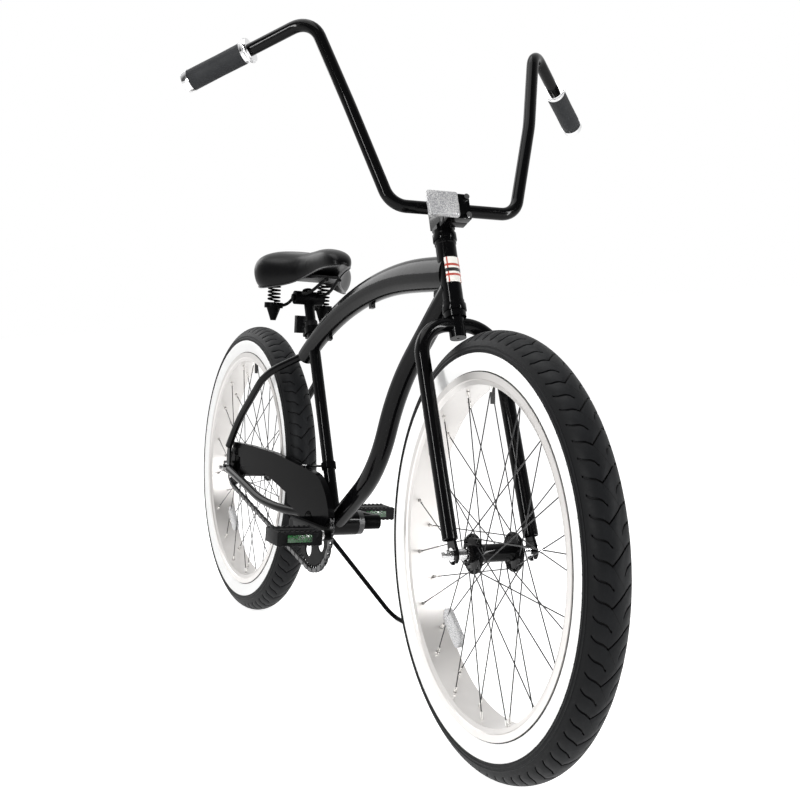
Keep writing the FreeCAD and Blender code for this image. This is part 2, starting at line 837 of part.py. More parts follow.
def inner_tube():
    radius = s.tyre_section_radius - s.tyre_wall - s.fit_gap
    ring_radius = num(tyre_ring_radius)
    outer = Part.makeTorus(ring_radius, num(radius), Vector(), side_axis)
    hollow = Part.makeTorus(ring_radius, num(radius - s.inner_tube_wall), Vector(), side_axis)
    valve = valve_direction()
    top = ring_radius - num(radius - s.inner_tube_wall / 2)
    stem = Part.makeCylinder(num(s.valve_radius), num(s.valve_length), valve * top, valve * -1)
    return shaped(outer.fuse(stem).cut(hollow))


def rim_distance(start, direction, radius):
    """Distance along a line to the cylinder of the given radius about the wheel's axis."""
    a = direction.x ** 2 + direction.z ** 2
    b = start.x * direction.x + start.z * direction.z
    c = start.x ** 2 + start.z ** 2 - radius ** 2
    return (-b + math.sqrt(b * b - a * c)) / a


def spoke_lines(flange_radius):
    """Start at the flange, direction, flange side and whether it lies outside, for every spoke."""
    count = int(s.spoke_count.value)
    circle = num(flange_radius - s.spoke_circle_inset)
    offset = num(s.flange_thickness / 2 + s.spoke_radius + s.fit_gap * 4)
    turn = 2 * math.pi / count
    lines = []
    for index in range(count):
        side = 1 if index % 2 == 0 else -1
        outside = (index // 2) % 2 == 0
        lead = 1 if outside else -1
        rim_angle = index * turn
        hub_angle = rim_angle + lead * s.spoke_cross.value * 2 * turn
        level = num(s.flange_half_spacing) + (offset if outside else -offset)
        row = num(s.spoke_outer_row if outside else s.spoke_inner_row)
        start = Vector(circle * math.cos(hub_angle), side * level, circle * math.sin(hub_angle))
        reach = num(rim_bed_radius)
        stop = Vector(reach * math.cos(rim_angle), side * row, reach * math.sin(rim_angle))
        lines.append((start, (stop - start).normalize(), side, outside))
    return lines


def spoke_set(flange_radius):
    """Every spoke is one solid: its elbow in the flange, its wire and its nipple in the rim."""
    solids = []
    radius = num(s.spoke_radius)
    head = num(s.flange_thickness + s.spoke_radius * 2 + s.fit_gap * 5)
    for start, direction, side, outside in spoke_lines(flange_radius):
        length = rim_distance(start, direction, num(rim_bed_radius + s.rim_bed / 2))
        wire = Part.makeCylinder(radius, length, start, direction)
        inward = Vector(0, -side if outside else side, 0)
        elbow = Part.makeCylinder(radius, head, start, inward)
        ball = Part.makeSphere(radius, start)
        nipple_start = start + direction * (length - num(s.nipple_length))
        nipple = Part.makeCylinder(num(s.nipple_radius), num(s.nipple_length), nipple_start, direction)
        solids.append(wire.multiFuse([elbow, ball, nipple]).removeSplitter())
    return shaped(Part.makeCompound(solids))


def hub_shell(flange_radius, barrel_radius, half_length, cavity_radius):
    """A turned shell with two drilled flanges, a bearing pocket in each end and room inside."""
    inner_face = s.flange_half_spacing - s.flange_thickness / 2
    outer_face = s.flange_half_spacing + s.flange_thickness / 2
    pocket = s.axle_radius + s.hub_wall / 2 + s.hub_ball_radius * 2
    neck = pocket + s.hub_wall / 2
    bore = s.axle_radius + s.hub_wall / 2
    pocket_floor = half_length - s.hub_ball_radius * 3
    room = s.shoe_half_length + s.hub_wall / 2
    corners = [
        (bore, -pocket_floor), (pocket, -pocket_floor), (pocket, -half_length), (neck, -half_length),
        (neck, -outer_face), (flange_radius, -outer_face), (flange_radius, -inner_face),
        (barrel_radius, -inner_face), (barrel_radius, inner_face), (flange_radius, inner_face),
        (flange_radius, outer_face), (neck, outer_face), (neck, half_length), (pocket, half_length),
        (pocket, pocket_floor), (bore, pocket_floor), (bore, room), (cavity_radius, room), (cavity_radius, -room),
        (bore, -room),
    ]
    body = turned(corners)
    circle = flange_radius - s.spoke_circle_inset
    return pocket_holes(body, "XZ_Plane", [(circle, 0, s.spoke_hole_radius)], s.spoke_count, "Y_Axis")


def ball_circle(count, radius, circle, centre, direction):
    """Bearing balls spaced evenly round an axis."""
    turn = along(centre, direction)
    balls = []
    for index in range(int(count.value)):
        angle = 2 * math.pi * index / count.value
        spot = turn.multVec(Vector(circle * math.cos(angle), circle * math.sin(angle), 0))
        balls.append(Part.makeSphere(num(radius), spot))
    return balls


def hub_bearings(half_length, centre):
    """Cones on the axle with their balls, on both sides, out to the lock nuts' faces."""
    cone_radius = s.axle_radius + s.hub_wall / 2 - s.running_gap * 2
    level = half_length - s.hub_ball_radius * 3 / 2
    circle = num(s.axle_radius + s.hub_wall / 2 + s.hub_ball_radius)
    pieces = []
    for side in (1, -1):
        low = half_length - s.hub_ball_radius * 3
        shoulder = half_length + s.fit_gap
        lock = hub_face - s.lock_nut_height
        corners = [(s.axle_radius, low), (cone_radius, low), (cone_radius, shoulder), (s.cone_radius, shoulder),
                   (s.cone_radius, lock), (s.lock_nut_radius, lock), (s.lock_nut_radius, hub_face),
                   (s.axle_radius, hub_face)]
        cone = turned([(across, level_size * side) for across, level_size in corners])
        pieces.append(placed(cone, Placement(centre, Rotation())))
        spot = centre + side_axis * side * num(level)
        pieces.append(shaped(Part.makeCompound(
            ball_circle(s.hub_ball_count, s.hub_ball_radius - s.running_gap, circle, spot, side_axis))))
    return group(*pieces)


def hexagon(across):
    radius = num(across) / math.sqrt(3)
    return [Vector(radius * math.cos(index * math.pi / 3), radius * math.sin(index * math.pi / 3), 0)
            for index in range(6)]


def hex_nut(across, height, bore, start, direction):
    points = hexagon(across)
    solid = Part.Face(Part.makePolygon(points + points[:1])).extrude(up_axis * num(height))
    if num(bore) > 0:
        solid = solid.cut(Part.makeCylinder(num(bore), num(height)))
    solid.Placement = along(start, direction)
    return solid


def axle_set(centre, seat):
    """A threaded axle with a washer and a nut outside each fork end and a bare end beyond each nut."""
    nut_seat = seat + s.washer_thickness
    nut_end = nut_seat + s.nut_height
    core = rod(s.axle_radius, nut_end * 2, centre - side_axis * num(nut_end), side_axis)
    ends = [rod(s.axle_end_radius, s.axle_end_length, centre + side_axis * side * num(nut_end), side_axis * side)
            for side in (1, -1)]
    pieces = [fuse(core, *ends)]
    for side in (1, -1):
        out = side_axis * side
        washer = Part.makeCylinder(num(s.washer_radius), num(s.washer_thickness), centre + out * num(seat), out)
        washer = washer.cut(Part.makeCylinder(num(s.axle_radius), num(s.washer_thickness),
                                              centre + out * num(seat), out))
        nut = hex_nut(s.nut_across, s.nut_height, s.axle_radius, centre + out * num(nut_seat), out)
        pieces += [shaped(washer), shaped(nut)]
    return group(*pieces)


def spoke_reflector():
    """A rounded lens between the spokes with a clip beside one of them."""
    half = s.reflector_width / 2
    straight = s.reflector_length / 2 - half
    corners = [(straight, -half), (straight + half, 0, half), (straight, half, half), (-straight, half),
               (-straight - half, 0, half), (-straight, -half, half)]
    lens = plate(corners, s.reflector_thickness)
    angle = math.radians(180) + radians(s.reflector_angle)
    centre = Vector(math.cos(angle), 0, math.sin(angle)) * s.reflector_radius.value
    centre.y = -s.reflector_level.value
    turn = Rotation(side_axis, -math.degrees(angle) - 90)
    lens.Placement = Placement(centre, turn)
    return lens


def spoke_clearance(flange_radius, radius):
    tools = []
    for start, direction, *_ in spoke_lines(flange_radius):
        length = rim_distance(start, direction, num(rim_bed_radius))
        tools.append(Part.makeCylinder(num(radius), length, start, direction))
    return shaped(Part.makeCompound(tools))


def make_wheel(name, centre, flange_radius, barrel_radius, half_length, cavity_radius, steered):
    place = Placement(centre, Rotation())
    add_node(name + "_tyre", tyre_body(), place, steered)
    add_node(name + "_inner_tube", inner_tube(), place, steered)
    add_node(name + "_rim", drilled_rim(flange_radius), place, steered)
    add_node(name + "_spokes", spoke_set(flange_radius), place, steered)
    add_node(name + "_hub_shell", hub_shell(flange_radius, barrel_radius, half_length, cavity_radius), place, steered)
    lens = cut(spoke_reflector(), spoke_clearance(flange_radius, s.spoke_radius + s.fit_gap))
    add_node(name + "_spoke_reflector", lens, place, steered)


make_wheel("front", front_axle_point, s.front_flange_radius, s.front_barrel_radius, s.front_hub_half_length,
           s.front_barrel_radius - s.hub_wall, True)
make_wheel("rear", rear_axle_point, s.rear_flange_radius, s.rear_barrel_radius, s.rear_hub_half_length,
           s.hub_cavity_radius, False)
fork_end_face = hub_face + s.dropout_thickness
add_node("front_axle", axle_set(front_axle_point, fork_end_face), None, True)
add_node("front_hub_bearings", hub_bearings(s.front_hub_half_length, front_axle_point), None, True)
add_node("rear_axle", axle_set(rear_axle_point, fork_end_face))
doc.recompute()


# Front fork, headset, stem and handlebar, all along the steering axis

steer_turned = Placement(steer_origin, Rotation(side_axis, steer_axis))
head_low = s.head_tube_low
head_high = s.head_tube_low + s.head_tube_length
head_bore = s.head_tube_radius - s.head_tube_wall
cup_low = head_low - s.cup_height
cup_high = head_high + s.cup_height
crown_point = on_steer(0, 0, s.crown_height)
fork_down = (front_axle_point - crown_point).normalize()
fork_across = side_axis.cross(fork_down * -1)
fork_plane = Rotation(fork_across, side_axis, fork_down * -1, "ZXY")
lock_top = cup_high + s.fit_gap + s.lock_height * 2


def head_tube_tool():
    length = s.head_tube_length
    return rod(s.head_tube_radius, length, on_steer(0, 0, head_low), steer_axis)


def headset_cup(upper):
    """A pressed cup: an insert in the head tube and a ball track that opens away from it."""
    track = s.cup_radius - s.head_ball_radius * 2 / 3
    bore = s.steerer_radius + s.fit_gap * 2
    face = head_high if upper else head_low
    sign = 1 if upper else -1
    mouth = face + s.cup_height * sign
    floor = mouth - s.head_ball_radius * 2 * sign
    tail = face - s.cup_insert_depth * sign
    corners = [(bore, tail), (bore, floor), (track, floor), (track, mouth), (s.cup_radius, mouth),
               (s.cup_radius, face), (head_bore, face), (head_bore, tail)]
    cup = placed(turned(corners), steer_turned)
    centre = on_steer(0, 0, mouth - s.head_ball_radius * sign)
    circle = num(track - s.head_ball_radius)
    radius = s.head_ball_radius - s.running_gap
    balls = shaped(Part.makeCompound(ball_circle(s.head_ball_count, radius, circle, centre, steer_axis)))
    return [cup, balls]


def fork_end():
    """A flat fork end with an open slot for the axle, in its own XZ plane."""
    outer = s.dropout_radius
    slot = s.axle_radius + s.running_gap
    mouth = Size(math.sqrt(num(outer) ** 2 - num(slot) ** 2), "sqrt(%s^2 - %s^2)" % (outer.text, slot.text))
    top = s.fork_end_gap + s.fork_leg_radius * 2
    neck = s.fork_leg_radius - s.tube_wall
    corners = [(-outer, 0), (-slot, -mouth, outer), (-slot, 0), (0, slot, -slot), (slot, 0, -slot),
               (slot, -mouth), (outer, 0, outer), (neck, s.fork_end_gap), (neck, top), (-neck, top),
               (-neck, s.fork_end_gap)]
    return plate(corners, s.dropout_thickness)


def make_fork():
    spread = s.fork_spread.value
    end = front_axle_point - fork_down * s.fork_end_gap.value
    points = [end + side_axis * spread, crown_point + side_axis * spread,
              crown_point - side_axis * spread, end - side_axis * spread]
    edges = rounded_edges(points, (s.fork_bend, s.fork_bend))
    plug_low = s.crown_height - s.fork_plug
    steerer_length = lock_top - s.lock_height / 2 - plug_low
    steerer_tool = rod(s.steerer_radius, steerer_length, on_steer(0, 0, plug_low), steer_axis)
    legs = cut(tube(edges, s.fork_leg_radius, s.tube_wall), steerer_tool)
    ends = []
    for side in (1, -1):
        centre = front_axle_point + side_axis * side * num(hub_face + s.dropout_thickness / 2)
        ends.append(placed(fork_end(), Placement(centre, fork_plane)))
    add_node("fork_legs", group(cut(legs, *ends), *ends), None, True)
    steerer = ring(s.steerer_radius, s.quill_radius + s.running_gap, plug_low, plug_low + steerer_length)
    add_node("fork_steerer", steerer, steer_turned, True)
    crown_top = s.crown_height + s.fork_leg_radius
    race = ring(s.race_radius, s.steerer_radius, crown_top, cup_low - s.fit_gap)
    cone = ring(s.race_radius, s.steerer_radius, cup_high + s.fit_gap, cup_high + s.fit_gap + s.lock_height)
    lock_seat = on_steer(0, 0, cup_high + s.fit_gap + s.lock_height)
    nut = hex_nut(s.race_radius * 2 - s.cup_insert_depth / 3, s.lock_height, s.steerer_radius, lock_seat,
                  steer_axis)
    plug = ring(s.quill_radius, s.screw_radius, plug_low, plug_low + s.cup_insert_depth)
    hardware = group(*[placed(item, steer_turned) for item in (race, cone, plug)], shaped(nut))
    add_node("headset_hardware", hardware, None, True)


def make_head():
    rim = s.head_tube_wall / 2
    collar = s.head_tube_radius + rim
    corners = [(head_bore, head_low), (collar, head_low), (collar, head_low + s.lock_height),
               (s.head_tube_radius, head_low + s.lock_height + rim),
               (s.head_tube_radius, head_high - s.lock_height - rim), (collar, head_high - s.lock_height),
               (collar, head_high), (head_bore, head_high)]
    add_node("head_tube", turned(corners), steer_turned)
    add_node("headset_cups", group(*headset_cup(False), *headset_cup(True)))
    outer = Part.makeCylinder(num(s.head_tube_radius + s.badge_thickness), num(s.badge_height))
    inner = Part.makeCylinder(num(s.head_tube_radius), num(s.badge_height))
    half = num(s.badge_width) / 2
    window = Part.makeBox(num(s.cup_radius) * 2, half * 2, num(s.badge_height), Vector(0, -half, 0))
    badge = shaped(outer.cut(inner).common(window))
    level = (head_low + head_high) / 2 - s.badge_height / 2
    seat = steer_frame.multiply(Placement(vec(0, 0, level), Rotation()))
    add_node("head_badge", badge, seat)


make_head()
make_fork()

bar_centre = on_steer(s.bar_reach, 0, s.bar_height)


def bar_point(forward, side, rise):
    return on_steer(s.bar_reach + forward, side, s.bar_height + rise)


def bar_half(side):
    """Corners of one half of the handlebar, from the clamp to the grip's end."""
    return [bar_point(0, s.bar_low_half_width * side, 0),
            bar_point(s.bar_kink_forward, s.bar_kink_half_width * side, s.bar_kink_rise),
            bar_point(-s.bar_top_back, s.bar_top_half_width * side, s.bar_top_rise),
            bar_point(-s.bar_end_back, s.bar_end_half_width * side, s.bar_end_rise)]


def make_bars():
    left = bar_half(1)
    right = bar_half(-1)
    points = list(reversed(left)) + right
    bends = (s.bar_top_bend, s.bar_kink_bend, s.bar_low_bend)
    edges = rounded_edges(points, bends + tuple(reversed(bends)))
    add_node("handlebar", tube(edges, s.bar_radius, s.tube_wall), None, True)
    grips, collars, caps = [], [], []
    for half in (left, right):
        end = half[3]
        inward = (half[2] - half[3]).normalize()
        place = Placement(end, Rotation(side_axis, inward))
        bore = s.bar_radius + s.running_gap
        grips.append(placed(grip_body(bore), place))
        collars.append(placed(ring(s.collar_radius, bore, s.grip_length, s.grip_length + s.collar_width), place))
        caps.append(placed(end_cap(), place))
    add_node("grips", group(*grips), None, True)
    add_node("grip_trim", group(*collars, *caps), None, True)


def grip_body(bore):
    """A ribbed rubber sleeve, drawn in between its ribs."""
    ribs = int(s.grip_ribs.value)
    step = s.grip_length / ribs
    land = step * 3 / 4
    waist = s.grip_radius - s.grip_waist
    corners = [(bore, 0)]
    for index in range(ribs):
        low = step * index
        corners += [(s.grip_radius, low), (s.grip_radius, low + land)]
        if index < ribs - 1:
            corners += [(waist, low + land), (waist, low + step)]
    corners += [(waist, step * (ribs - 1) + land), (waist, s.grip_length), (bore, s.grip_length)]
    return turned(corners)


def end_cap():
    """A bright cap over the grip's end with a plug inside the bar."""
    plug = s.bar_radius - s.tube_wall - s.running_gap
    length = s.end_cap_length
    bevel = s.grip_waist
    corners = [(0, -length), (s.end_cap_radius - bevel, -length), (s.end_cap_radius, bevel - length),
               (s.end_cap_radius, 0), (plug, 0), (plug, length), (0, length)]
    return turned(corners)


def make_stem():
    width = s.stem_width
    bar_tool = rod(s.bar_radius, width + s.overrun * 2,
                   bar_centre - side_axis * num(width / 2 + s.overrun), side_axis)
    quill_low = cup_high - s.quill_depth
    neck_low = lock_top + s.fit_gap
    neck_top = s.bar_height + s.stem_height / 2
    neck_height = neck_top - neck_low
    neck_length = s.bar_reach + s.stem_neck_width / 2 - s.bar_radius
    neck_back = s.stem_neck_width / -2
    neck_place = steer_frame.multiply(Placement(
        vec(neck_back + neck_length / 2, 0, neck_low + neck_height / 2), Rotation()))
    clamp_middle = s.bar_reach - s.stem_depth / 2 - s.stem_split / 2
    clamp_place = steer_frame.multiply(Placement(vec(clamp_middle, 0, s.bar_height), Rotation()))
    front_middle = s.bar_reach + s.faceplate_depth / 2 + s.stem_split / 2
    front_place = steer_frame.multiply(Placement(vec(front_middle, 0, s.bar_height), Rotation()))
    quill = rod(s.quill_radius, neck_top - quill_low, on_steer(0, 0, quill_low), steer_axis)
    neck = block(neck_length, s.stem_neck_width, neck_height, neck_place)
    clamp = block(s.stem_depth, width, s.stem_height, clamp_place)
    expander = rod(s.screw_radius * 3 / 2, neck_top - quill_low + s.overrun * 2,
                   on_steer(0, 0, quill_low - s.overrun), steer_axis)
    body = fuse(quill, neck, clamp)
    faceplate = block(s.faceplate_depth, width, s.stem_height, front_place)
    bolts, holes = [], []
    bolt_head = s.stem_bolt_radius * 2
    for side in (1, -1):
        for rise in (1, -1):
            start = on_steer(s.bar_reach - s.stem_depth + s.overrun, s.stem_bolt_spread * side,
                             s.bar_height + s.stem_bolt_rise * rise)
            reach = s.stem_depth - s.overrun + s.faceplate_depth + s.stem_split / 2
            shank = rod(s.stem_bolt_radius, reach + s.overrun, start, steer_forward)
            head = rod(bolt_head, bolt_head, start + steer_forward * num(reach), steer_forward)
            bolts.append(fuse(shank, head))
            holes.append(rod(s.stem_bolt_radius, reach + s.overrun, start, steer_forward))
    add_node("stem", cut(body, bar_tool, expander, *holes), None, True)
    add_node("stem_faceplate", cut(faceplate, bar_tool, *holes), None, True)
    shank_length = neck_top - quill_low
    shank = rod(s.screw_radius * 3 / 2, shank_length, on_steer(0, 0, quill_low), steer_axis)
    cap = rod(s.quill_radius * 3 / 4, s.lock_height, on_steer(0, 0, neck_top), steer_axis)
    wedge = rod(s.quill_radius - s.running_gap, s.quill_depth / 4,
                on_steer(0, 0, quill_low - s.quill_depth / 4), steer_axis)
    add_node("stem_fasteners", group(fuse(shank, cap, wedge), *bolts), None, True)


def make_front_reflector():
    """A clear lens ahead of the bar, on a bracket whose band holds the bar beside the stem."""
    side = -s.front_lens_side
    lens_place = steer_frame.multiply(Placement(
        vec(s.bar_reach + s.front_lens_forward, side, s.bar_height - s.lock_height), Rotation()))
    add_node("front_reflector", block(s.front_lens_depth, s.front_lens_width, s.front_lens_height, lens_place),
             None, True)
    band_start = on_steer(s.bar_reach, side - s.lens_band_width / 2, s.bar_height)
    band = cut(rod(s.bar_radius + s.lens_band, s.lens_band_width, band_start, side_axis),
               rod(s.bar_radius, s.lens_band_width, band_start, side_axis))
    lens_back = s.front_lens_forward - s.front_lens_depth / 2
    arm_start = s.bar_radius + s.lens_band / 2
    arm_length = lens_back - s.lens_band - arm_start
    arm_place = steer_frame.multiply(Placement(
        vec(s.bar_reach + arm_start + arm_length / 2, side, s.bar_height), Rotation()))
    arm = block(arm_length, s.lens_band_width, s.lens_band_width, arm_place)
    back_place = steer_frame.multiply(Placement(
        vec(s.bar_reach + lens_back - s.lens_band / 2, side, s.bar_height - s.lock_height), Rotation()))
    back = block(s.lens_band, s.front_lens_width - s.lens_band_width, s.front_lens_height - s.lens_band_width,
                 back_place)
    add_node("front_reflector_bracket", fuse(band, arm, back), None, True)


make_bars()
make_stem()
make_front_reflector()

# Frame tubes

top_tube_start = on_steer(0, 0, head_low + s.top_tube_joint)
top_bend_start = top_tube_start - forward_axis * s.top_tube_straight.value
top_bend_centre = top_bend_start - up_axis * s.top_tube_bend.value


def top_tube_point(turn):
    """Point of the arched part of the top tube after the given turn, radians."""
    return top_bend_centre + Vector(-math.sin(turn), 0, math.cos(turn)) * s.top_tube_bend.value


def seat_joint_turn():
    """Turn at which the top tube's centre line meets the seat tube's axis."""
    low, high = 0.0, math.pi / 2
    for _ in range(60):
        middle = (low + high) / 2
        ahead = (top_tube_point(middle) - bracket_point).dot(seat_forward)
        low, high = (middle, high) if ahead > 0 else (low, middle)
    return low


joint_turn = seat_joint_turn()
tail_turn = joint_turn + s.top_tube_tail.value / s.top_tube_bend.value
tail_point = top_tube_point(tail_turn)
top_tube_shares = (0.0, 0.2, 0.5, 0.8, 1.0)


def top_tube_loft(inset):
    """The arched top tube, from a tall oval at the head to a round end behind the seat tube."""
    sections = []
    for share in (-1.0, -0.5) + top_tube_shares:
        item = doc.addObject("Part::Ellipse", new_name("oval"))
        blend = max(share, 0.0)
        height = s.top_tube_head_height * (1 - blend) + s.top_tube_seat_height * blend
        width = s.top_tube_head_width * (1 - blend) + s.top_tube_seat_width * blend
        bind(item, MajorRadius=height / 2 - inset, MinorRadius=width / 2 - inset)
        turn = tail_turn * blend
        point = top_tube_point(turn)
        if share < 0:
            point = top_bend_start + forward_axis * s.top_tube_straight.value * -share
        back = Vector(-math.cos(turn), 0, -math.sin(turn))
        item.Placement = Placement(point, Rotation(back.cross(side_axis) * -1, side_axis * -1, back, "ZXY"))
        sections.append(item)
    loft = doc.addObject("Part::Loft", new_name("loft"))
    loft.Sections = sections
    loft.Solid = True
    return loft


guide_shares = (-0.62, 0.37, 0.76)


def top_tube_guide(share, tool):
    """A small stub under the top tube, its top following the tube."""
    blend = max(share, 0.0)
    turn = tail_turn * blend
    point = top_tube_point(turn)
    if share < 0:
        point = top_bend_start + forward_axis * s.top_tube_straight.value * -share
    height = s.top_tube_head_height * (1 - blend) + s.top_tube_seat_height * blend
    drop = num(height / 2)
    down = Vector(math.sin(turn), 0, -math.cos(turn))
    turned_frame = Rotation(down.cross(side_axis), side_axis, down * -1, "ZXY")
    place = Placement(point + down * drop, turned_frame)
    return cut(block(s.guide_length, s.guide_width, s.guide_height * 2, place), tool)


def seat_tool():
    return rod(s.seat_tube_radius, s.seat_tube_length, bracket_point, seat_axis)


def shell_tool():
    start = bracket_point - side_axis * s.shell_half_width.value
    return rod(s.shell_radius, s.shell_half_width * 2, start, side_axis)


down_tube_shares = ((0.584, 0.628), (0.42, 0.272))
chain_stay_shares = ((0.04, 1.0, 0.07), (0.262, 1.0, 0.4), (0.475, 0.97, 0.82), (0.66, 0.78, 0.93),
                     (0.8, 0.47, 0.9), (0.965, 0.45, 0.9))
seat_stay_shares = ((0.763, 0.94, 0.849), (0.25, 1.0, 0.44), (0.026, 1.0, 0.19))
bend_share = 0.45


def chain_stay_points(side):
    return [Vector(bracket_forward * ahead, s.stay_spread.value * across * side,
                   axle_height.value - s.bracket_drop.value * drop) for ahead, across, drop in chain_stay_shares]


def seat_stay_points(side):
    rise = tail_point.z - axle_height.value
    inner = tail_point + side_axis * side * num(s.top_tube_seat_width) / 4
    return [inner] + [Vector(tail_point.x * ahead, s.stay_spread.value * across * side,
                             axle_height.value + rise * up) for ahead, across, up in seat_stay_shares]


dropout_shares = ((-1.65, -0.8), (0.9, -0.95), (3.2, -1.3), (3.3, -0.75), (1.15, 0.55), (1.0, 3.0), (2.1, 4.4),
                  (1.5, 4.9), (-0.1, 3.4), (-0.3, 0.95), (-1.65, 0.85))


def rear_dropout():
    """A flat rear end with a slot that opens to the rear and tongues into both stays."""
    unit = s.dropout_radius
    slot = s.axle_radius + s.running_gap
    rear = unit * dropout_shares[-1][0]
    corners = [(unit * across, unit * up) for across, up in dropout_shares]
    corners += [(rear, slot), (0, slot), (slot, 0, -slot), (0, -slot, -slot), (rear, -slot)]
    return plate(corners, s.dropout_thickness)


def make_frame():
    head_tool = head_tube_tool()
    outer = top_tube_loft(0)
    hollow = cut(outer, top_tube_loft(s.tube_wall), head_tool, seat_tool())
    guides = [top_tube_guide(share, outer) for share in guide_shares]
    add_node("top_tube", group(hollow, *guides))

    down_start = on_steer(0, 0, head_low + s.down_tube_joint)
    reach = down_start - bracket_point
    points = [down_start] + [bracket_point + Vector(reach.x * ahead, 0, reach.z * up)
                             for ahead, up in down_tube_shares] + [bracket_point]
    edges = rounded_edges(points, widest_bends(points, bend_share))
    collar_rim = s.head_tube_wall / 2
    collar_tool = rod(s.head_tube_radius + collar_rim, s.lock_height + collar_rim, on_steer(0, 0, head_low),
                      steer_axis)
    add_node("down_tube", cut(tube(edges, s.down_tube_radius, s.tube_wall), head_tool, collar_tool, shell_tool(),
                              outer))

    seat_bore = rod(s.seat_tube_bore, s.seat_tube_length + s.overrun, bracket_point, seat_axis)
    add_node("seat_tube", cut(seat_tool(), seat_bore, shell_tool(), down_tube_tool(edges)))

    inner_radius = s.shell_radius - s.shell_wall
    shell = ring(s.shell_radius, inner_radius, -s.shell_half_width, s.shell_half_width)
    add_node("bottom_bracket_shell", shell, Placement(bracket_point, Rotation()))

    dropouts, chain_stays, seat_stays = [], [], []
    for side in (1, -1):
        centre = rear_axle_point + side_axis * side * num(hub_face + s.dropout_thickness / 2)
        dropouts.append(placed(rear_dropout(), Placement(centre, Rotation())))
        points = chain_stay_points(side)
        edges = rounded_edges(points, widest_bends(points, bend_share))
        chain_stays.append(cut(tube(edges, s.chain_stay_radius, s.tube_wall), shell_tool(), dropouts[-1]))
        points = seat_stay_points(side)
        edges = rounded_edges(points, widest_bends(points, bend_share))
        seat_stays.append(cut(tube(edges, s.seat_stay_radius, s.tube_wall), outer, dropouts[-1]))
    add_node("chain_stays", group(*chain_stays))
    add_node("seat_stays", group(*seat_stays))
    add_node("rear_dropouts", group(*dropouts))


def down_tube_tool(edges):
    return swept(edges, s.down_tube_radius)


def make_seat_clamp():
    """A split band round the top of the seat tube with a bolt through its ears."""
    top = s.seat_tube_length - s.fit_gap
    low = top - s.clamp_height
    outer = s.seat_tube_radius + s.clamp_band
    start = on_seat(0, 0, low)
    band = rod(outer, s.clamp_height, start, seat_axis)
    ear_back = outer + s.clamp_ear / 2 - s.clamp_band / 2
    ear_width = s.clamp_band * 3
    ear_place = seat_frame.multiply(Placement(vec(-ear_back, 0, low + s.clamp_height / 2), Rotation()))
    ears = block(s.clamp_ear, ear_width, s.clamp_height, ear_place)
    slot = block(s.clamp_ear * 2, s.fit_gap * 4, s.clamp_height + s.overrun, ear_place)
    bore = rod(s.seat_tube_radius, s.clamp_height, start, seat_axis)
    bolt_start = on_seat(-ear_back, -ear_width, low + s.clamp_height / 2)
    bolt = rod(s.screw_radius, ear_width * 2, bolt_start, side_axis)
    head = rod(s.screw_head_radius, ear_width / 2, bolt_start, side_axis)
    nut_start = on_seat(-ear_back, ear_width / 2, low + s.clamp_height / 2)
    nut = rod(s.screw_head_radius, ear_width / 2, nut_start, side_axis)
    clamp = cut(fuse(band, ears), bore, slot, bolt)
    add_node("seat_clamp", group(clamp, fuse(bolt, head, nut)))


make_frame()
make_seat_clamp()
doc.recompute()


# Stance: the bicycle leans to its left onto the kickstand with the bars turned a little to the right

steer_turn = Placement(Vector(), Rotation(steer_axis, -s.steer_angle.value), steer_origin)


def tyre_low(centre, normal):
    """Height of the lowest point of a tyre about the given centre and axis."""
    reach = num(tyre_ring_radius) * math.sqrt(1 - normal.z ** 2)
    return centre.z - reach - num(s.tyre_section_radius)


def lowest_points(turn):
    rear = tyre_low(turn.multVec(rear_axle_point), turn.multVec(side_axis))
    front = tyre_low(turn.multVec(steer_turn.multVec(front_axle_point)),
                     turn.multVec(steer_turn.Rotation.multVec(side_axis)))
    return rear, front


def standing_place():
    """Lean first, then pitch until both tyres touch the ground."""
    turn = Rotation(forward_axis, -s.lean_angle.value)
    for _ in range(4):
        rear, front = lowest_points(turn)
        pitch = math.degrees(math.atan2(front - rear, num(s.wheelbase)))
        turn = Rotation(side_axis, pitch).multiply(turn)
    rear, front = lowest_points(turn)
    return Placement(Vector(0, 0, -rear), turn)


standing = standing_place()


def above_ground(x, y, height):
    """The point over bicycle coordinates x and y that stands the given height above the ground."""
    base = standing.multVec(Vector(x, y, 0)).z
    slope = standing.Rotation.multVec(up_axis).z
    return Vector(x, y, (height - base) / slope)


# Drive

chain_plane = -s.chain_line.value
chain_rise = math.atan2(-s.bracket_drop.value, bracket_forward)
chain_lean = math.asin((ring_pitch_radius - sprocket_pitch_radius) / chain_centres)
tooth_height_share = 0.25
tooth_tip_share = 0.08


def link_plate(length, start_radius, end_radius, thickness, holes=()):
    """A flat link along its own X axis with a round end about each of its two centres."""
    corners = [(0, -start_radius, start_radius), (length, -end_radius), (length + end_radius, 0, end_radius),
               (length, end_radius, end_radius), (0, start_radius), (-start_radius, 0, start_radius)]
    return plate(corners, thickness, holes)


def polar(centre, radius, angle):
    return Vector(centre.x + radius * math.cos(angle), centre.y, centre.z + radius * math.sin(angle))


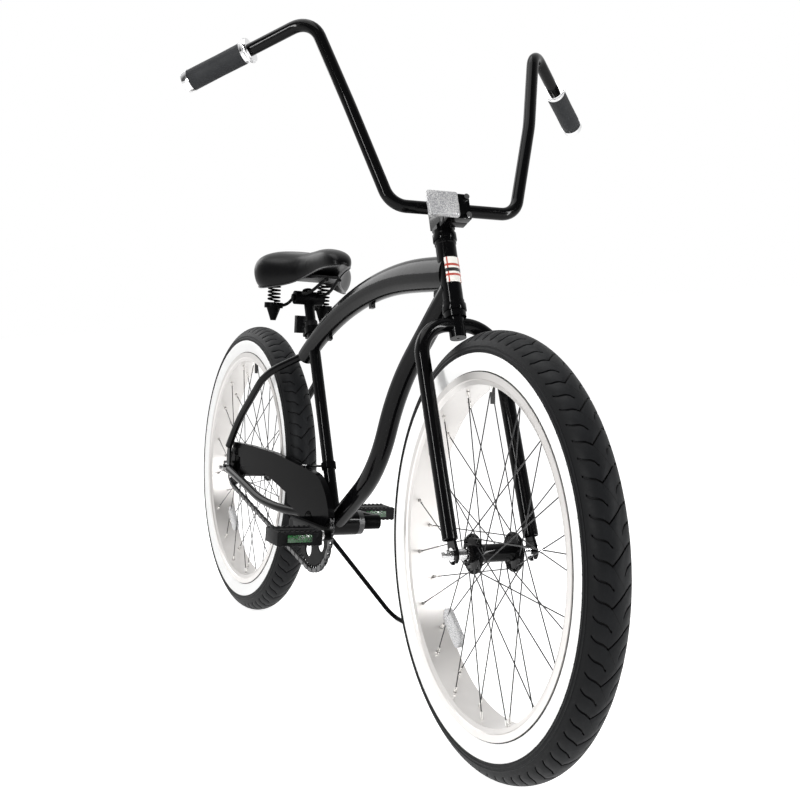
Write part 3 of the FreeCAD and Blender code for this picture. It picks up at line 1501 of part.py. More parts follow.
def toothed_disc(teeth, pitch, gap_angle, thickness):
    """A toothed disc about its own Y axis, its tips just under the rollers of the still chain."""
    count = int(teeth.value)
    seat = num(s.roller_radius + s.fit_gap / 2)
    step = 2 * math.pi / count
    tip = pitch - num(s.roller_radius + s.fit_gap)
    base = tip - s.chain_pitch.value * tooth_height_share
    tip_half = s.chain_pitch.value * tooth_tip_share / tip
    middle = Vector()
    edges = []
    for index in range(count):
        gap = gap_angle + (index + 0.5) * step
        wide = math.asin(seat / base)
        low_start = polar(middle, base, gap - wide)
        low = polar(middle, base - seat, gap)
        low_end = polar(middle, base, gap + wide)
        rise = polar(middle, tip, gap + step / 2 - tip_half)
        fall = polar(middle, tip, gap + step / 2 + tip_half)
        following = polar(middle, base, gap + step - wide)
        edges += [Part.Arc(low_start, low, low_end).toShape(), Part.makeLine(low_end, rise),
                  Part.makeLine(rise, fall), Part.makeLine(fall, following)]
    face = Part.Face(Part.Wire(edges))
    disc = face.extrude(side_axis * num(thickness))
    disc.translate(side_axis * -num(thickness / 2))
    return disc


def chain_joints():
    """Centres of the chain's joints, one pitch apart round the sprocket and the chainring."""
    sprocket = Vector(0, chain_plane, axle_height.value)
    chainring = Vector(bracket_point.x, chain_plane, bracket_point.z)
    upper = chain_rise + math.pi / 2 + chain_lean
    lower = chain_rise - math.pi / 2 - chain_lean
    pitch = s.chain_pitch.value
    straight = chain_centres * math.cos(chain_lean) / pitch
    ring_turns = s.ring_teeth.value * (math.pi + 2 * chain_lean) / (2 * math.pi)
    sprocket_turns = s.sprocket_teeth.value * (math.pi - 2 * chain_lean) / (2 * math.pi)
    top_start = polar(sprocket, sprocket_pitch_radius, upper)
    top_end = polar(chainring, ring_pitch_radius, upper)
    low_start = polar(chainring, ring_pitch_radius, lower)
    low_end = polar(sprocket, sprocket_pitch_radius, lower)
    joints = []
    for index in range(int(s.chain_links.value)):
        along_loop = float(index)
        if along_loop < straight:
            joints.append(top_start + (top_end - top_start) * (along_loop / straight))
            continue
        along_loop -= straight
        if along_loop < ring_turns:
            angle = upper - along_loop * 2 * math.pi / s.ring_teeth.value
            joints.append(polar(chainring, ring_pitch_radius, angle))
            continue
        along_loop -= ring_turns
        if along_loop < straight:
            joints.append(low_start + (low_end - low_start) * (along_loop / straight))
            continue
        along_loop -= straight
        angle = lower - along_loop * 2 * math.pi / s.sprocket_teeth.value
        joints.append(polar(sprocket, sprocket_pitch_radius, angle))
    ring_gap = upper - (math.ceil(straight) - straight) * 2 * math.pi / s.ring_teeth.value
    return joints, ring_gap, upper


def chain_link(first, last, outer):
    """An outer link with its pins, or an inner link with its rollers, between two joints."""
    length = (last - first).Length
    half = num(s.link_height / 2)
    inner_face = num(s.link_inner_gap / 2)
    level = inner_face + num(s.link_plate_thickness + s.fit_gap / 2) if outer else inner_face
    reach = level + num(s.link_plate_thickness)
    start, stop = Vector(), Vector(length, 0, 0)
    pieces = []
    outline = Part.Wire([Part.makeLine(start - up_axis * half, stop - up_axis * half),
                         Part.Arc(stop - up_axis * half, stop + forward_axis * half, stop + up_axis * half).toShape(),
                         Part.makeLine(stop + up_axis * half, start + up_axis * half),
                         Part.Arc(start + up_axis * half, start - forward_axis * half,
                                  start - up_axis * half).toShape()])
    face = Part.Face(outline)
    for side in (1, -1):
        side_plate = face.extrude(side_axis * side * num(s.link_plate_thickness))
        side_plate.translate(side_axis * side * level)
        pieces.append(side_plate)
    radius = num(s.pin_radius) if outer else num(s.roller_radius)
    for joint in (start, stop):
        pieces.append(Part.makeCylinder(radius, reach * 2, joint - side_axis * reach, side_axis) if outer
                      else Part.makeCylinder(radius, level * 2, joint - side_axis * level, side_axis))
    solid = pieces[0].multiFuse(pieces[1:])
    if not outer:
        bore = num(s.pin_radius + s.fit_gap / 2)
        bores = [Part.makeCylinder(bore, reach * 2, joint - side_axis * reach, side_axis)
                 for joint in (start, stop)]
        solid = solid.cut(Part.makeCompound(bores))
    direction = (last - first).normalize()
    solid.Placement = Placement(first, Rotation(forward_axis, direction))
    return solid


def make_drive():
    joints, ring_gap, sprocket_gap = chain_joints()
    links = []
    for index, first in enumerate(joints):
        last = joints[(index + 1) % len(joints)]
        links.append(chain_link(first, last, index % 2 == 1))
    add_node("chain", shaped(Part.makeCompound(links)))

    disc = toothed_disc(s.sprocket_teeth, sprocket_pitch_radius, sprocket_gap, s.ring_thickness)
    bore = s.cone_radius + s.fit_gap
    inner_end = s.rear_hub_half_length + s.fit_gap
    outer_end = s.guard_face - s.guard_thickness - s.brake_arm_thickness - s.fit_gap
    driver = Part.makeCylinder(num(s.driver_radius), num(outer_end - inner_end), side_axis * -num(outer_end),
                               side_axis)
    disc.translate(side_axis * chain_plane)
    hole = Part.makeCylinder(num(bore), num(outer_end), side_axis * -num(outer_end), side_axis)
    add_node("rear_sprocket", shaped(disc.fuse(driver).cut(hole)), Placement(rear_axle_point, Rotation()))

    disc = toothed_disc(s.ring_teeth, ring_pitch_radius, ring_gap, s.ring_thickness)
    windows = []
    arms = int(s.ring_arms.value)
    middle = (ring_pitch_radius + num(s.ring_boss_radius)) / 2
    window = num(s.ring_window_radius)
    for index in range(arms):
        angle = 2 * math.pi * (index + 0.5) / arms
        spot = polar(Vector(), middle, angle)
        windows.append(Part.makeCylinder(window, num(s.ring_thickness) * 2,
                                         spot - side_axis * num(s.ring_thickness), side_axis))
    spindle_hole = Part.makeCylinder(num(s.spindle_radius), num(s.ring_thickness) * 2,
                                     side_axis * -num(s.ring_thickness), side_axis)
    disc = disc.cut(Part.makeCompound(windows + [spindle_hole]))
    add_node("chainring", shaped(disc), Placement(bracket_point + side_axis * chain_plane, Rotation()))


crank_turn = Rotation(side_axis, -s.crank_angle.value)
crank_place = Placement(bracket_point, crank_turn)
arm_level = s.crank_face - s.crank_thickness / 2


def crank_arm(side):
    """Crank arm of one side in the crank's own axes, the right arm along +X."""
    reach = -side
    body = link_plate(s.crank_length, s.crank_boss_radius, s.crank_eye_radius, s.crank_thickness)
    turn = Rotation() if reach > 0 else Rotation(side_axis, 180)
    body.Placement = Placement(side_axis * side * num(arm_level), turn)
    inner = s.chain_line + s.ring_thickness / 2
    if side > 0:
        inner = s.shell_half_width + s.lock_ring_thickness + s.cup_flange_thickness + s.fit_gap
    boss = rod(s.crank_boss_radius, s.crank_face - inner, side_axis * side * num(inner), side_axis * side)
    spindle = rod(s.spindle_radius, s.crank_face * 2, side_axis * -num(s.crank_face), side_axis)
    eye = forward_axis * reach * num(s.crank_length)
    hole = rod(s.pedal_spindle_radius, s.crank_face * 2, eye - side_axis * num(s.crank_face), side_axis)
    return cut(fuse(body, boss), spindle, hole)


def make_crank():
    add_node("crank_arms", group(crank_arm(1), crank_arm(-1)), crank_place)
    depth = s.spindle_bolt_depth
    spindle = rod(s.spindle_radius, (s.crank_face - depth) * 2, side_axis * -num(s.crank_face - depth), side_axis)
    caps = [rod(s.spindle_radius, depth, side_axis * side * num(s.crank_face - depth), side_axis * side)
            for side in (1, -1)]
    add_node("crank_spindle", group(spindle, *caps), crank_place)
    spindles = []
    for side in (1, -1):
        eye = forward_axis * -side * num(s.crank_length)
        start = eye + side_axis * side * num(s.crank_face - s.crank_thickness)
        length = s.pedal_outer - s.pedal_bar - s.crank_face + s.crank_thickness
        pin = rod(s.pedal_spindle_radius, length, start, side_axis * side)
        collar = rod(s.pedal_spindle_radius * 3 / 2, s.pedal_inner - s.crank_face - s.fit_gap,
                     eye + side_axis * side * num(s.crank_face), side_axis * side)
        spindles.append(fuse(pin, collar))
    add_node("pedal_spindles", group(*spindles), crank_place)
    for name, side in (("left_pedal", 1), ("right_pedal", -1)):
        eye = crank_place.multVec(forward_axis * -side * num(s.crank_length))
        add_node(name, pedal(side), Placement(eye, Rotation()))


def pedal(side):
    """A moulded pedal: a frame about a barrel, with a reflector let into its front and its back."""
    width = s.pedal_outer - s.pedal_inner
    middle = side_axis * side * num((s.pedal_outer + s.pedal_inner) / 2)
    frame = block(s.pedal_length, width, s.pedal_height, Placement(middle, Rotation()))
    barrel_radius = s.pedal_spindle_radius + s.pedal_bar / 2
    window_length = s.pedal_length / 2 - barrel_radius - s.pedal_bar - s.pedal_reflector_depth
    tools = []
    lenses = []
    for end in (1, -1):
        spot = middle + forward_axis * end * num(barrel_radius + window_length / 2)
        tools.append(block(window_length, width - s.pedal_bar * 2, s.pedal_height + s.overrun,
                           Placement(spot, Rotation())))
        lens_spot = middle + forward_axis * end * num(s.pedal_length / 2 - s.pedal_reflector_depth / 2)
        lens_place = Placement(lens_spot, Rotation())
        tools.append(block(s.pedal_reflector_depth, s.pedal_reflector_width, s.pedal_reflector_height, lens_place))
        lenses.append(block(s.pedal_reflector_depth, s.pedal_reflector_width, s.pedal_reflector_height,
                            lens_place))
    start = middle - side_axis * side * num(width / 2 + s.overrun)
    bore_length = width - s.pedal_bar + s.overrun + s.fit_gap
    tools.append(rod(s.pedal_spindle_radius + s.running_gap, bore_length, start, side_axis * side))
    return group(cut(frame, *tools), *lenses)


def make_bracket_bearings():
    """Threaded cups in the shell's ends, a lock ring on the left, and the balls on the spindle."""
    outer = s.shell_radius - s.shell_wall
    bore = s.spindle_radius + s.fit_gap * 2
    track = s.spindle_radius + s.bracket_ball_radius * 2 + s.running_gap
    face = s.shell_half_width
    middle = face - s.bracket_ball_radius * 3
    low = middle - s.bracket_ball_radius - s.running_gap
    high = middle + s.bracket_ball_radius + s.running_gap
    inner_end = low - s.bracket_ball_radius
    flange = s.shell_radius - s.shell_wall / 4
    place = Placement(bracket_point, Rotation())
    pieces = []
    for side, flange_depth in ((1, s.cup_flange_thickness + s.lock_ring_thickness), (-1, s.cup_flange_thickness)):
        top = face + flange_depth
        corners = [(bore, inner_end), (outer, inner_end), (outer, face), (flange, face), (flange, top), (bore, top),
                   (bore, high), (track, high), (track, low), (bore, low)]
        pieces.append(placed(turned([(across, level * side) for across, level in corners]), place))
        spot = bracket_point + side_axis * side * num(middle)
        circle = num(s.spindle_radius + s.bracket_ball_radius)
        pieces.append(shaped(Part.makeCompound(ball_circle(
            s.bracket_ball_count, s.bracket_ball_radius - s.running_gap, circle, spot, side_axis))))
    add_node("bottom_bracket_bearings", group(*pieces))


def make_rear_hub_internals():
    """Cones and balls as in the front hub, and two brake shoes round a tapered sleeve."""
    sleeve = ring(s.axle_radius + s.hub_wall, s.axle_radius, -s.shoe_half_length, s.shoe_half_length)
    place = Placement(rear_axle_point, Rotation())
    outer = num(s.hub_cavity_radius - s.fit_gap)
    inner = num(s.axle_radius + s.hub_wall + s.running_gap)
    length = num(s.shoe_half_length)
    tube_solid = Part.makeCylinder(outer, length * 2, side_axis * -length, side_axis)
    tube_solid = tube_solid.cut(Part.makeCylinder(inner, length * 2, side_axis * -length, side_axis))
    gap = num(s.hub_wall)
    slot = Part.makeBox(outer * 2, length * 2, gap, Vector(-outer, -length, -gap / 2))
    shoes = shaped(tube_solid.cut(slot))
    bearings = hub_bearings(s.rear_hub_half_length, rear_axle_point)
    add_node("rear_hub_internals", group(bearings, placed(sleeve, place), placed(shoes, place)))


def make_brake_arm():
    """The torque arm of the back-pedal brake, strapped to the left chain stay."""
    points = chain_stay_points(1)
    middle = points[0] + (points[1] - points[0]) * s.brake_strap_share.value
    reach = middle - rear_axle_point
    length = math.hypot(reach.x, reach.z)
    turn = Rotation(side_axis, -math.degrees(math.atan2(reach.z, reach.x)))
    level = s.stay_spread - s.chain_stay_radius - s.brake_arm_thickness / 2 - s.lens_band
    arm = link_plate(Size(length, repr(length)), s.driver_radius, s.crank_eye_radius / 2, s.brake_arm_thickness,
                     [(0, 0, s.cone_radius + s.running_gap)])
    arm.Placement = Placement(rear_axle_point + side_axis * num(level), turn)
    direction = (points[1] - points[0]).normalize()
    width = s.lens_band_width
    start = middle - direction * num(width / 2)
    outer = s.chain_stay_radius + s.lens_band
    strap = cut(rod(outer, width, start, direction), rod(s.chain_stay_radius + s.fit_gap, width, start, direction))
    add_node("brake_arm", group(arm, strap))


make_drive()
make_crank()
make_bracket_bearings()
make_rear_hub_internals()
make_brake_arm()
doc.recompute()


# Chain guard

guard_plane = -num(s.guard_face - s.guard_thickness / 2)
guard_lower_shares = ((0.127, 0.707), (0.138, 0.382), (0.479, 0.561), (0.748, 0.358), (0.753, 0.195))
guard_upper_shares = (0.56, 0.267)


def guard_tangent(radius, top):
    """Slope of the guard's falling top edge, which runs tangent into the arc round the chainring."""
    back = bracket_forward * (1 - guard_upper_shares[0])
    rise = top - bracket_point.z
    return math.acos(radius / math.hypot(back, rise)) - math.atan2(back, rise)


def guard_top_path(inset):
    """Corners of the guard's top edge from its front to its rear end."""
    radius = num(s.guard_radius) - inset
    top = num(s.guard_top) - inset
    touch = math.pi / 2 - guard_tangent(radius, top)
    front = polar(bracket_point, radius, radians(s.guard_front_angle))
    meet = polar(bracket_point, radius, touch)
    rear_top = num(s.guard_screw_height + s.guard_end_radius) - inset
    return [(front.x, front.z), (meet.x, meet.z, radius)] + [
        (bracket_forward * share, top) for share in guard_upper_shares] + [(num(s.guard_screw_forward), rear_top)]


def guard_sheet():
    height = num(s.guard_top) - bracket_point.z
    end = s.guard_end_radius
    ahead = s.guard_screw_forward
    level = s.guard_screw_height
    notch = num(s.shell_radius)
    left = polar(bracket_point, notch, math.pi - radians(s.guard_notch_angle))
    right = polar(bracket_point, notch, radians(s.guard_notch_angle))
    corners = guard_top_path(0) + [(ahead - end, level, end), (ahead, level - end, end)]
    corners += [(bracket_forward * across, bracket_point.z + height * up) for across, up in guard_lower_shares]
    front = bracket_point.x + num(s.guard_radius) - notch
    corners += [(left.x, left.z), (right.x, right.z, -notch), (front, right.z)]
    return placed(plate(corners, s.guard_thickness, [(ahead, level, s.screw_radius)]),
                  Placement(side_axis * guard_plane, Rotation()))


def guard_lip():
    """The guard's top edge turned inwards over the chain."""
    outer = guard_top_path(0)
    inner = guard_top_path(num(s.guard_thickness))
    back = list(reversed(inner))
    meet = back[-2]
    corners = outer + back[:-2] + [meet[:2], back[-1] + (-meet[2],)]
    lip_plane = -num(s.guard_face - s.guard_lip_width / 2)
    return placed(plate(corners, s.guard_lip_width), Placement(side_axis * lip_plane, Rotation()))


def make_guard():
    guard = fuse(guard_sheet(), guard_lip())

    screw_spot = vec(s.guard_screw_forward, 0, s.guard_screw_height)
    reach = screw_spot - rear_axle_point
    length = math.hypot(reach.x, reach.z)
    turn = Rotation(side_axis, -math.degrees(math.atan2(reach.z, reach.x)))
    rear_level = s.guard_face - s.guard_thickness - s.brake_arm_thickness / 2
    stay = link_plate(length, s.driver_radius, s.guard_end_radius / 2, s.brake_arm_thickness,
                      [(0, 0, s.cone_radius + s.running_gap), (length, 0, s.screw_radius)])
    stay.Placement = Placement(rear_axle_point - side_axis * num(rear_level), turn)

    slope = guard_tangent(num(s.guard_radius), num(s.guard_top))
    start_x = bracket_forward * guard_upper_shares[0]
    seat_x = bracket_point.x + seat_axis.x * num(s.guard_strap_height)
    lip_z = num(s.guard_top) - math.tan(slope) * (seat_x - start_x)
    tilt = Rotation(side_axis, math.degrees(slope))
    normal = tilt.multVec(up_axis)
    arm_width = s.guard_face - s.seat_tube_radius
    arm_spot = Vector(seat_x, -num(s.guard_face + s.seat_tube_radius) / 2, lip_z)
    arm_spot += normal * num(s.brake_arm_thickness / 2)
    arm = block(s.clamp_height, arm_width, s.brake_arm_thickness, Placement(arm_spot, tilt))
    along_seat = (arm_spot - bracket_point).dot(seat_axis)
    band_start = on_seat(0, 0, along_seat - num(s.clamp_height / 2))
    band = rod(s.seat_tube_radius + s.lens_band, s.clamp_height, band_start, seat_axis)
    seat_cut = rod(s.seat_tube_radius, s.clamp_height * 3, band_start - seat_axis * num(s.clamp_height), seat_axis)
    lip_spot = Vector(seat_x, -num(s.guard_face - s.guard_lip_width / 2), lip_z)
    screw_start = lip_spot - normal * num(s.overrun * 3)
    screw_length = s.overrun * 3 + s.brake_arm_thickness + s.overrun
    front_hole = rod(s.screw_radius, screw_length, screw_start, normal)
    strap = cut(fuse(arm, band), seat_cut, front_hole)
    add_node("chain_guard", group(cut(guard, front_hole), stay, strap))

    rear_start = screw_spot - side_axis * num(s.guard_face + s.overrun)
    rear_screw = rod(s.screw_radius, s.overrun * 2 + s.guard_thickness + s.brake_arm_thickness, rear_start, side_axis)
    rear_head = rod(s.screw_head_radius, s.overrun, rear_start, side_axis)
    front_head = rod(s.screw_head_radius, s.overrun,
                     lip_spot + normal * num(s.brake_arm_thickness), normal)
    front_screw = rod(s.screw_radius, screw_length, screw_start, normal)
    add_node("guard_screws", group(fuse(rear_screw, rear_head), fuse(front_screw, front_head)))


# Kickstand

stand_pivot = bracket_point + vec(-s.stand_pivot_back, s.stand_pivot_left, -s.stand_pivot_drop)
stand_heel = above_ground(bracket_point.x - s.stand_heel_back.value, s.stand_heel_left.value,
                          s.stand_rod_radius.value)
stand_toe = above_ground(stand_heel.x + s.stand_foot_length.value, stand_heel.y, s.stand_rod_radius.value)
stand_down = (stand_heel - stand_pivot).normalize()
stand_folded_shares = (-0.95, 0.3, -0.08)
stand_folded = Vector(*stand_folded_shares).normalize()
stand_axis = stand_down.cross(stand_folded).normalize()


def make_kickstand():
    radius = s.stand_rod_radius
    edges = rounded_edges([stand_pivot, stand_heel, stand_toe], [s.stand_bend])
    half = s.stand_eye_length / 2
    eye = rod(s.stand_eye_radius, s.stand_eye_length, stand_pivot - stand_axis * num(half), stand_axis)
    pin_radius = s.stand_pin_radius
    hole = rod(pin_radius + s.running_gap, s.stand_eye_length, stand_pivot - stand_axis * num(half), stand_axis)
    add_node("kickstand_leg", cut(fuse(swept(edges, radius), eye), hole))

    stay_low = chain_stay_points(1)[-1].z - num(s.chain_stay_radius)
    stay_high = chain_stay_points(1)[-1].z + num(s.chain_stay_radius)
    thickness = s.stand_plate_thickness
    middle_x = bracket_point.x - num(s.stand_bracket_back)
    low_centre = Vector(middle_x, 0, stay_low - num(s.fit_gap + thickness / 2))
    high_centre = Vector(middle_x, 0, stay_high + num(s.fit_gap + thickness / 2))
    width = (s.shell_half_width - s.fit_gap * 4) * 2
    low_plate = block(s.stand_plate_length, width, thickness, Placement(low_centre, Rotation()))
    high_plate = block(s.stand_plate_length, width, thickness, Placement(high_centre, Rotation()))
    gap = half + s.fit_gap
    lug_start = stand_pivot + stand_axis * num(gap)
    # The arm carries the pivot behind the circle that the crank and the pedal sweep.
    arm_level = low_centre.z - num(thickness + s.stand_arm_thickness) / 2
    rise = (arm_level - lug_start.z) / stand_axis.z
    arm_start = Vector(middle_x, num(s.stand_arm_left), arm_level)
    arm_end = lug_start + stand_axis * rise
    arm_line = arm_end - arm_start
    arm_turn = math.degrees(math.atan2(arm_line.y, arm_line.x))
    arm = block(arm_line.Length + num(s.stand_eye_radius) * 2, s.stand_arm_width, s.stand_arm_thickness,
                Placement((arm_start + arm_end) / 2, Rotation(up_axis, arm_turn)))
    lug = rod(s.stand_eye_radius, rise + num(s.stand_arm_thickness), lug_start, stand_axis)
    roof_height = s.stand_plate_length
    roof = block(s.stand_plate_length * 3, width * 2, roof_height,
                 Placement(arm_end + up_axis * num(roof_height / 2), Rotation()))
    pin_length = s.stand_eye_length + s.fit_gap + thickness
    pin_start = stand_pivot - stand_axis * num(gap + thickness)
    pin = fuse(rod(pin_radius, pin_length + gap + thickness, pin_start, stand_axis),
               rod(s.stand_eye_radius, thickness, pin_start, stand_axis))
    lug_cut = rod(pin_radius, pin_length + gap + thickness, pin_start, stand_axis)
    bolt_low = low_centre - up_axis * num(thickness)
    bolt_length = num(high_centre.z - bolt_low.z + num(thickness))
    bolt = fuse(rod(s.stand_rod_radius, bolt_length, bolt_low, up_axis),
                rod(s.stand_eye_radius, thickness / 2, bolt_low, up_axis),
                rod(s.stand_eye_radius, thickness / 2, high_centre + up_axis * num(thickness / 2), up_axis))
    bolt_cut = rod(s.stand_rod_radius, bolt_length, bolt_low, up_axis)
    low_piece = cut(fuse(low_plate, arm, cut(lug, roof)), lug_cut, bolt_cut)
    add_node("kickstand_bracket", group(low_piece, cut(high_plate, bolt_cut), bolt, pin))


# Saddle

post_top_point = on_seat(0, 0, s.post_top)
saddle_middle = post_top_point.x
saddle_top = bracket_point.z + s.saddle_height.value
saddle_length = num(s.saddle_rear + s.saddle_nose)
saddle_ceiling = saddle_top - num(s.saddle_thickness) * 2 / 3
base_top = saddle_ceiling - num(s.fit_gap)
base_low = base_top - num(s.saddle_base_thickness)
# Stations from the rear to the nose: place along the length, half width, height of the crown, depth of the side.
saddle_station_shares = (
    (0.01, 0.5, -0.2, 0.6), (0.045, 0.82, -0.03, 0.88), (0.12, 0.99, 0.06, 1.03), (0.26, 0.96, 0.0, 1.05),
    (0.4, 0.7, -0.06, 0.98), (0.535, 0.45, -0.04, 0.82), (0.705, 0.33, 0.03, 0.6), (0.88, 0.26, -0.06, 0.5),
    (0.965, 0.14, -0.26, 0.47))
saddle_edge_share = 0.88
saddle_shoulder_share = 0.76
saddle_shoulder_drop_share = 0.2
saddle_belly_share = 0.45


def station_sizes(shares):
    """Place along the bicycle, half width, crown height and lower edge of one saddle station."""
    ahead, across, crown, depth = shares
    x = saddle_middle - num(s.saddle_rear) + saddle_length * ahead
    thickness = num(s.saddle_thickness)
    return x, num(s.saddle_half_width) * across, saddle_top + thickness * crown, saddle_top - thickness * depth


def saddle_section(shares):
    """A closed section: flat below, drawn-in bulging sides and a crowned top."""
    x, half, top, low = station_sizes(shares)
    height = top - low
    edge = half * saddle_edge_share
    shoulder = half * saddle_shoulder_share
    shoulder_z = top - height * saddle_shoulder_drop_share
    belly_z = low + height * saddle_belly_share
    low_left, low_right = Vector(x, edge, low), Vector(x, -edge, low)
    up_left, up_right = Vector(x, shoulder, shoulder_z), Vector(x, -shoulder, shoulder_z)
    return Part.Wire([
        Part.makeLine(low_left, low_right),
        Part.Arc(low_right, Vector(x, -half, belly_z), up_right).toShape(),
        Part.Arc(up_right, Vector(x, 0, top), up_left).toShape(),
        Part.Arc(up_left, Vector(x, half, belly_z), low_left).toShape()])


def saddle_plan(inset, first, last):
    """Plan outline inside the cover's lower edges, between two stations."""
    stations = [station_sizes(shares) for shares in saddle_station_shares[first:last]]
    left = [Vector(x, half * saddle_edge_share - inset, 0) for x, half, _, _ in stations]
    right = [Vector(point.x, -point.y, 0) for point in reversed(left)]
    points = left + right
    return Part.Face(Part.makePolygon(points + points[:1]))


def make_saddle():
    wall = num(s.saddle_wall)
    cushion = Part.makeLoft([saddle_section(shares) for shares in saddle_station_shares], True, False)
    hollow = saddle_plan(wall, 1, 7)
    depth = num(s.saddle_thickness)
    hollow.translate(up_axis * (saddle_ceiling - depth))
    add_node("saddle_cover", shaped(cushion.cut(hollow.extrude(up_axis * depth))))
    base = saddle_plan(wall + num(s.fit_gap), 1, 7)
    base.translate(up_axis * base_low)
    add_node("saddle_base", shaped(base.extrude(up_axis * num(s.saddle_base_thickness))))


def biarc_edges(points, tangents):
    """Two tangent arcs between each point and the next, a smooth curve through all of them."""
    edges = []
    for first, last, leaving, arriving in zip(points, points[1:], tangents, tangents[1:]):
        span = last - first
        total = leaving + arriving
        bend = 2 * (1 - leaving.dot(arriving))
        reach = (-span.dot(total) + math.sqrt(span.dot(total) ** 2 + bend * span.dot(span))) / bend
        near = first + leaving * reach
        far = last - arriving * reach
        join = (near + far) / 2
        for start, corner, stop in ((first, near, join), (join, far, last)):
            middle = (start + stop) / 2
            half = (stop - start).Length / 2
            height = (corner - middle).Length
            radius = half * reach / height
            rise = radius - math.sqrt(radius ** 2 - half ** 2)
            edges.append(Part.Arc(start, middle + (corner - middle) * (rise / height), stop).toShape())
    return edges


spring_rise = num(s.spring_pitch) * s.spring_turns.value
spring_low = base_low - num(s.fit_gap) * 4 - spring_rise - num(s.spring_wire) * 2


def spring_points(turns_per_point):
    """Points and tangents of the spring's helix about the vertical axis through the origin."""
    count = int(round(s.spring_turns.value / turns_per_point))
    radius = num(s.spring_radius)
    climb = num(s.spring_pitch) / (2 * math.pi)
    points, tangents = [], []
    for index in range(count + 1):
        angle = 2 * math.pi * turns_per_point * index
        points.append(Vector(radius * math.cos(angle), radius * math.sin(angle), climb * angle))
        tangents.append(Vector(-radius * math.sin(angle), radius * math.cos(angle), climb).normalize())
    return points, tangents


def coil_spring():
    """One round wire wound in an open helix, its ends straight for one wire diameter."""
    points, tangents = spring_points(0.25)
    edges = biarc_edges(points, tangents)
    tail = num(s.spring_wire) * 2
    start = Part.makeLine(points[0] - tangents[0] * tail, points[0])
    stop = Part.makeLine(points[-1], points[-1] + tangents[-1] * tail)
    wire = Part.Wire([start] + edges + [stop])
    circle = Part.Circle(points[0] - tangents[0] * tail, tangents[0], num(s.spring_wire))
    return wire.makePipeShell([Part.Wire(circle.toShape())], True, False)


def spring_self_gap():
    """Least gap of the wire to itself, measured on points half a turn or more apart."""
    steps = 24
    points, _ = spring_points(1 / steps)
    least = min((first - last).Length for index, first in enumerate(points) for last in points[index + steps // 2:])
    return least - 2 * num(s.spring_wire)


def rail_points(side):
    """One saddle rail: from its clip under the nose back through the clamp to the spring seat."""
    spread = num(s.rail_half_spread) * side
    clamp_z = clamp_point.z + num(clamp_bolt_radius + s.rail_radius + s.fit_gap)
    seat = spring_seat_point(side) + up_axis * num(s.spring_seat_height / 2)
    front_x = saddle_middle + num(s.rail_front)
    front = Vector(front_x, spread * 2 / 3, base_low - num(s.fit_gap + s.rail_radius))
    slope = Vector(saddle_middle + num(s.rail_front) / 2, spread, clamp_z)
    behind = Vector(clamp_point.x - num(s.saddle_clamp_radius), spread, clamp_z)
    inward = Vector(behind.x - seat.x, behind.y - seat.y, 0).normalize()
    beside = seat + inward * num(s.spring_seat_radius + s.rail_radius * 3)
    return [front + forward_axis * num(s.rail_radius * 3), front, slope, behind, beside, seat]


def spring_seat_point(side):
    return Vector(saddle_middle - num(s.spring_back), num(s.spring_side) * side,
                  spring_low - num(s.spring_seat_height))


clamp_point = on_seat(0, 0, s.post_top - s.post_crown - s.saddle_clamp_radius)
clamp_bolt_radius = s.stand_rod_radius - s.overrun / 2


def spring_seat():
    """A cup under the spring that narrows to a blunt tip, turned about its own Y axis."""
    corners = [(0, -s.spring_cone_height), (s.spring_cone_tip, -s.spring_cone_height),
               (s.spring_seat_radius * 3 / 4, 0), (s.spring_seat_radius, 0),
               (s.spring_seat_radius, s.spring_seat_height), (0, s.spring_seat_height)]
    return turned(corners)


